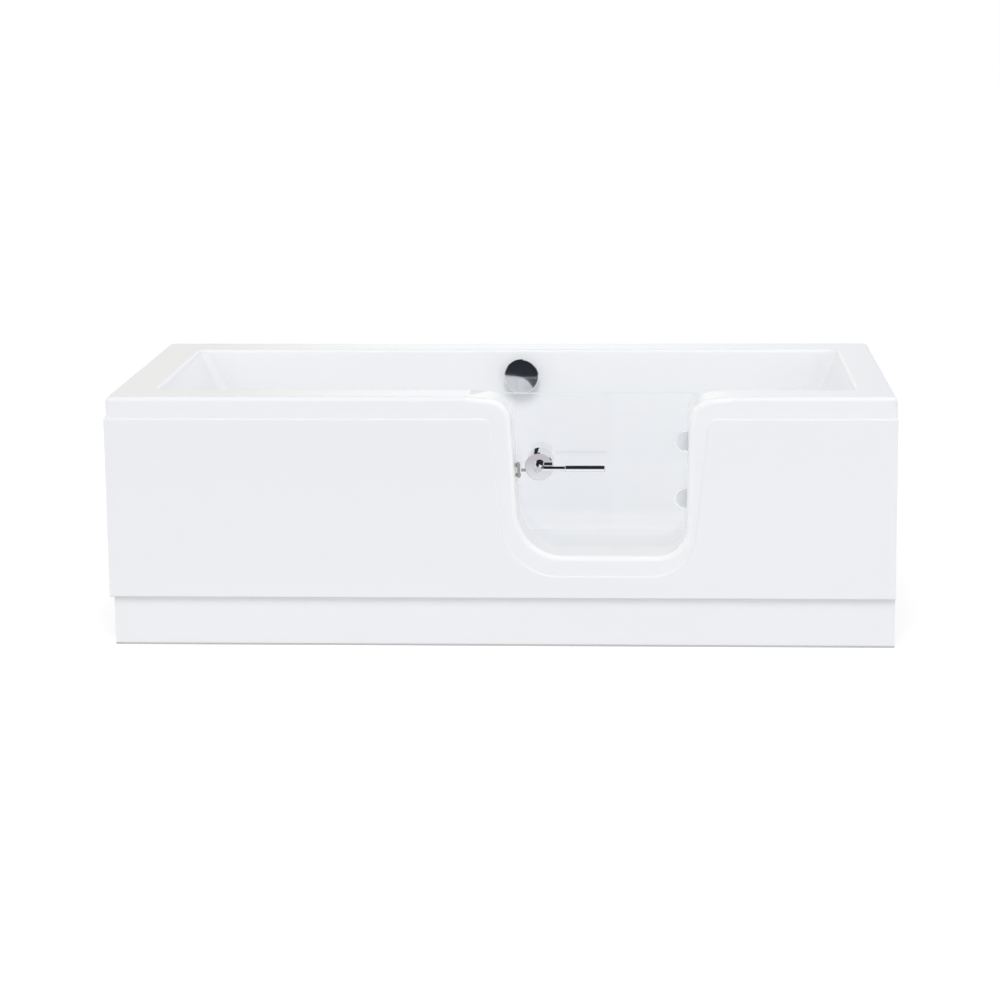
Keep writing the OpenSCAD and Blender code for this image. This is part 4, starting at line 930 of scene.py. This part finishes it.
# The doorway's copy is a shade whiter than the same sheet: painted light for the shade in the
# doorway.
doorway_acrylic_painted_light = finish_of("doorway_acrylic_painted_light", (0.985, 0.985, 0.988), (0.98, 0.98, 0.984), 0.15,
                            0.04, 4, (2.5, 0.00004, 500, 0.000001), IOR=1.49)
panel_white = finish_of("panel_acrylic", (0.935, 0.941, 0.953), (0.927, 0.934, 0.948), 0.14,
                        0.04, 4, (2.0, 0.0003, 500, 0.000001), IOR=1.49)
fibre = finish_of("sprayed_fibre", (0.63, 0.61, 0.55), (0.49, 0.47, 0.41), 0.55, 0.25, 300,
                  (60, 0.002, 700, 0.0006), FLECKS)
print("sheet", acrylic.name, doorway_acrylic_painted_light.name, panel_white.name, fibre.name)

# %% [markdown]
# Fittings that a hand touches are polished chrome with a breath of haze. The keeper and the
# bolt are duller steel. Brackets and screws are zinc plated, which shows as flecks, and the
# frame's tubes are painted grey and dusty on top. The hinges' faces are plain pale discs against
# the glass.

# %% Metals
chrome = finish_of("polished_chrome", (0.86, 0.86, 0.88), (0.80, 0.81, 0.83), 0.05, 0.04, 20,
                   Metallic=1.0)
steel = finish_of("zinc_plated_steel", (0.66, 0.67, 0.70), (0.46, 0.48, 0.52), 0.38, 0.2, 240,
                  (90, 0.0001, 900, 0.00002), FLECKS, Metallic=1.0)
satin = finish_of("keeper_steel", (0.52, 0.50, 0.47), (0.44, 0.42, 0.39), 0.5, 0.2, 80,
                  (200, 0.00004, 1500, 0.00001), Metallic=0.3)
painted = finish_of("frame_paint", (0.42, 0.44, 0.47), (0.36, 0.38, 0.41), 0.42, 0.1, 25,
                    (300, 0.00005, 1400, 0.00002), dust=0.5)
hinge_face = finish_of("hinge_face", (0.93, 0.94, 0.96), (0.88, 0.89, 0.92), 0.25, 0.1, 40,
                       (120, 0.00005, 1800, 0.00001))
print("metals", chrome.name, steel.name, satin.name, painted.name, hinge_face.name)

# %% [markdown]
# Drain parts are injection-moulded plastic, nearly smooth. Rubber is dark and full of pores,
# except for the clear seal round the door. The grey strip under the plinth is painted shade, a
# stand-in for the contact shadow along the floor. Chipboard and battens carry the flecks and the
# grain.

# %% Plastics, rubber and wood
white_plastic = finish_of("white_plastic", (0.80, 0.80, 0.79), (0.74, 0.74, 0.72), 0.4, 0.1, 30,
                          (40, 0.0001, 1500, 0.00001))
dark_plastic = finish_of("dark_plastic", (0.10, 0.10, 0.11), (0.07, 0.07, 0.08), 0.5, 0.15, 40,
                         (60, 0.0001, 1800, 0.00003), dust=0.3)
black_rubber = finish_of("black_rubber", (0.035, 0.035, 0.037), (0.06, 0.06, 0.06), 0.7, 0.2,
                         90, (120, 0.0001, 2000, 0.00004))
# The strip's grey is painted shade for the contact line along the floor.
painted_shadow_strip = finish_of("painted_contact_shadow_grey", (0.62, 0.62, 0.62), (0.55, 0.55, 0.55), 0.6, 0.15,
                         60, (150, 0.0001, 1800, 0.00002))
seal_rubber = finish_of("clear_seal", (0.90, 0.92, 0.93), (0.84, 0.87, 0.89), 0.35, 0.1, 50,
                        (50, 0.0001, 1500, 0.00001))
board = finish_of("chipboard", (0.58, 0.43, 0.26), (0.30, 0.20, 0.11), 0.8, 0.15, 320,
                  (300, 0.0004, 1500, 0.0001), FLECKS)
batten = finish_of("batten_wood", (0.58, 0.42, 0.25), (0.42, 0.27, 0.14), 0.7, 0.1, 45,
                   (60, 0.0003, 900, 0.0001), GRAIN)
print("rest", white_plastic.name, dark_plastic.name, board.name, batten.name)

# %% [markdown]
# Glass is one uniform material: light goes through it, so it keeps plain values and no relief.
# Its ground rim is matt and green, because there one looks along the thickness of the sheet.

# %% Glass
glass = finish_of("toughened_glass", (0.99, 0.995, 1.0), (0.985, 0.995, 1.0), 0.0, 0.0, 3,
                  Transmission_Weight=1.0, IOR=1.5)
ground_glass = finish_of("ground_glass", (0.80, 0.87, 0.87), (0.74, 0.84, 0.84), 0.35, 0.1, 60,
                         (80, 0.00005, 2500, 0.00001), IOR=1.5)
print("glass", glass.name, ground_glass.name)

# %% [markdown]
# ## Dressing
# The five new pieces take their finishes by number. Every piece that was carried over from the
# mechanical model keeps its mesh and gets one finish. Metal fittings also get a fine rounded
# edge from a modifier, because a real edge always catches a thin line of light.

# %% Dress every piece
def dress(solid, *finishes):
    """Gives each numbered finish of a moulded piece its material."""
    for slot in range(len(solid.data.materials)):
        solid.data.materials[slot] = finishes[min(slot, len(finishes) - 1)]


# The doorway's faces get the whiter acrylic copy, which is painted light.
dress(shell, acrylic, fibre, doorway_acrylic_painted_light)
dress(panel, panel_white, fibre)
dress(plinth, panel_white, painted_shadow_strip)
dress(door_pane, glass, ground_glass)
dress(hose, white_plastic)

WEARS = {
    board: ["base_board"],
    batten: ["rim_battens", "sill_batten"],
    dark_plastic: ["plinth_clips", "foot_pads", "rail_caps", "control_cable", "hose_nuts",
                   "trap_nuts"],
    steel: ["panel_brackets", "panel_rests", "foot_stems", "foot_nuts", "wall_brackets",
            "bracket_screws", "spindle", "dial_spindle"],
    painted: ["rail_front", "rail_back", "cross_rails", "uprights", "sill_upright"],
    seal_rubber: ["door_seal"],
    satin: ["keeper_plate", "keeper_screws", "latch_bolt"],
    chrome: ["hinge_leaves", "hinge_pins", "hinge_screws", "hinge_arms", "lock_case",
             "inner_rose", "lever", "lever_grip", "inner_turn", "overflow_collar",
             "overflow_dial", "waste_flange", "waste_plug"],
    hinge_face: ["hinge_pads"],
    white_plastic: ["overflow_body", "overflow_nut", "waste_body", "trap", "outlet_pipe",
                    "outlet_socket"],
    black_rubber: ["case_gasket", "inner_gasket", "overflow_gasket", "waste_gasket",
                   "plug_seal"],
}
for material, names in WEARS.items():
    for name in names:
        data = nodes[name].data
        data.materials.clear()
        data.materials.append(material)

FINE_EDGE, ARM_EDGE = 0.0008, 0.002
for name in WEARS[chrome] + WEARS[satin] + WEARS[hinge_face]:
    bevel = nodes[name].modifiers.new("rounded_edges", "BEVEL")
    bevel.width = ARM_EDGE if name == "hinge_arms" else FINE_EDGE
    bevel.segments = 3
    bevel.limit_method, bevel.angle_limit = "ANGLE", math.radians(40)
print("finishes", len(bpy.data.materials), "carried over", sum(map(len, WEARS.values())))
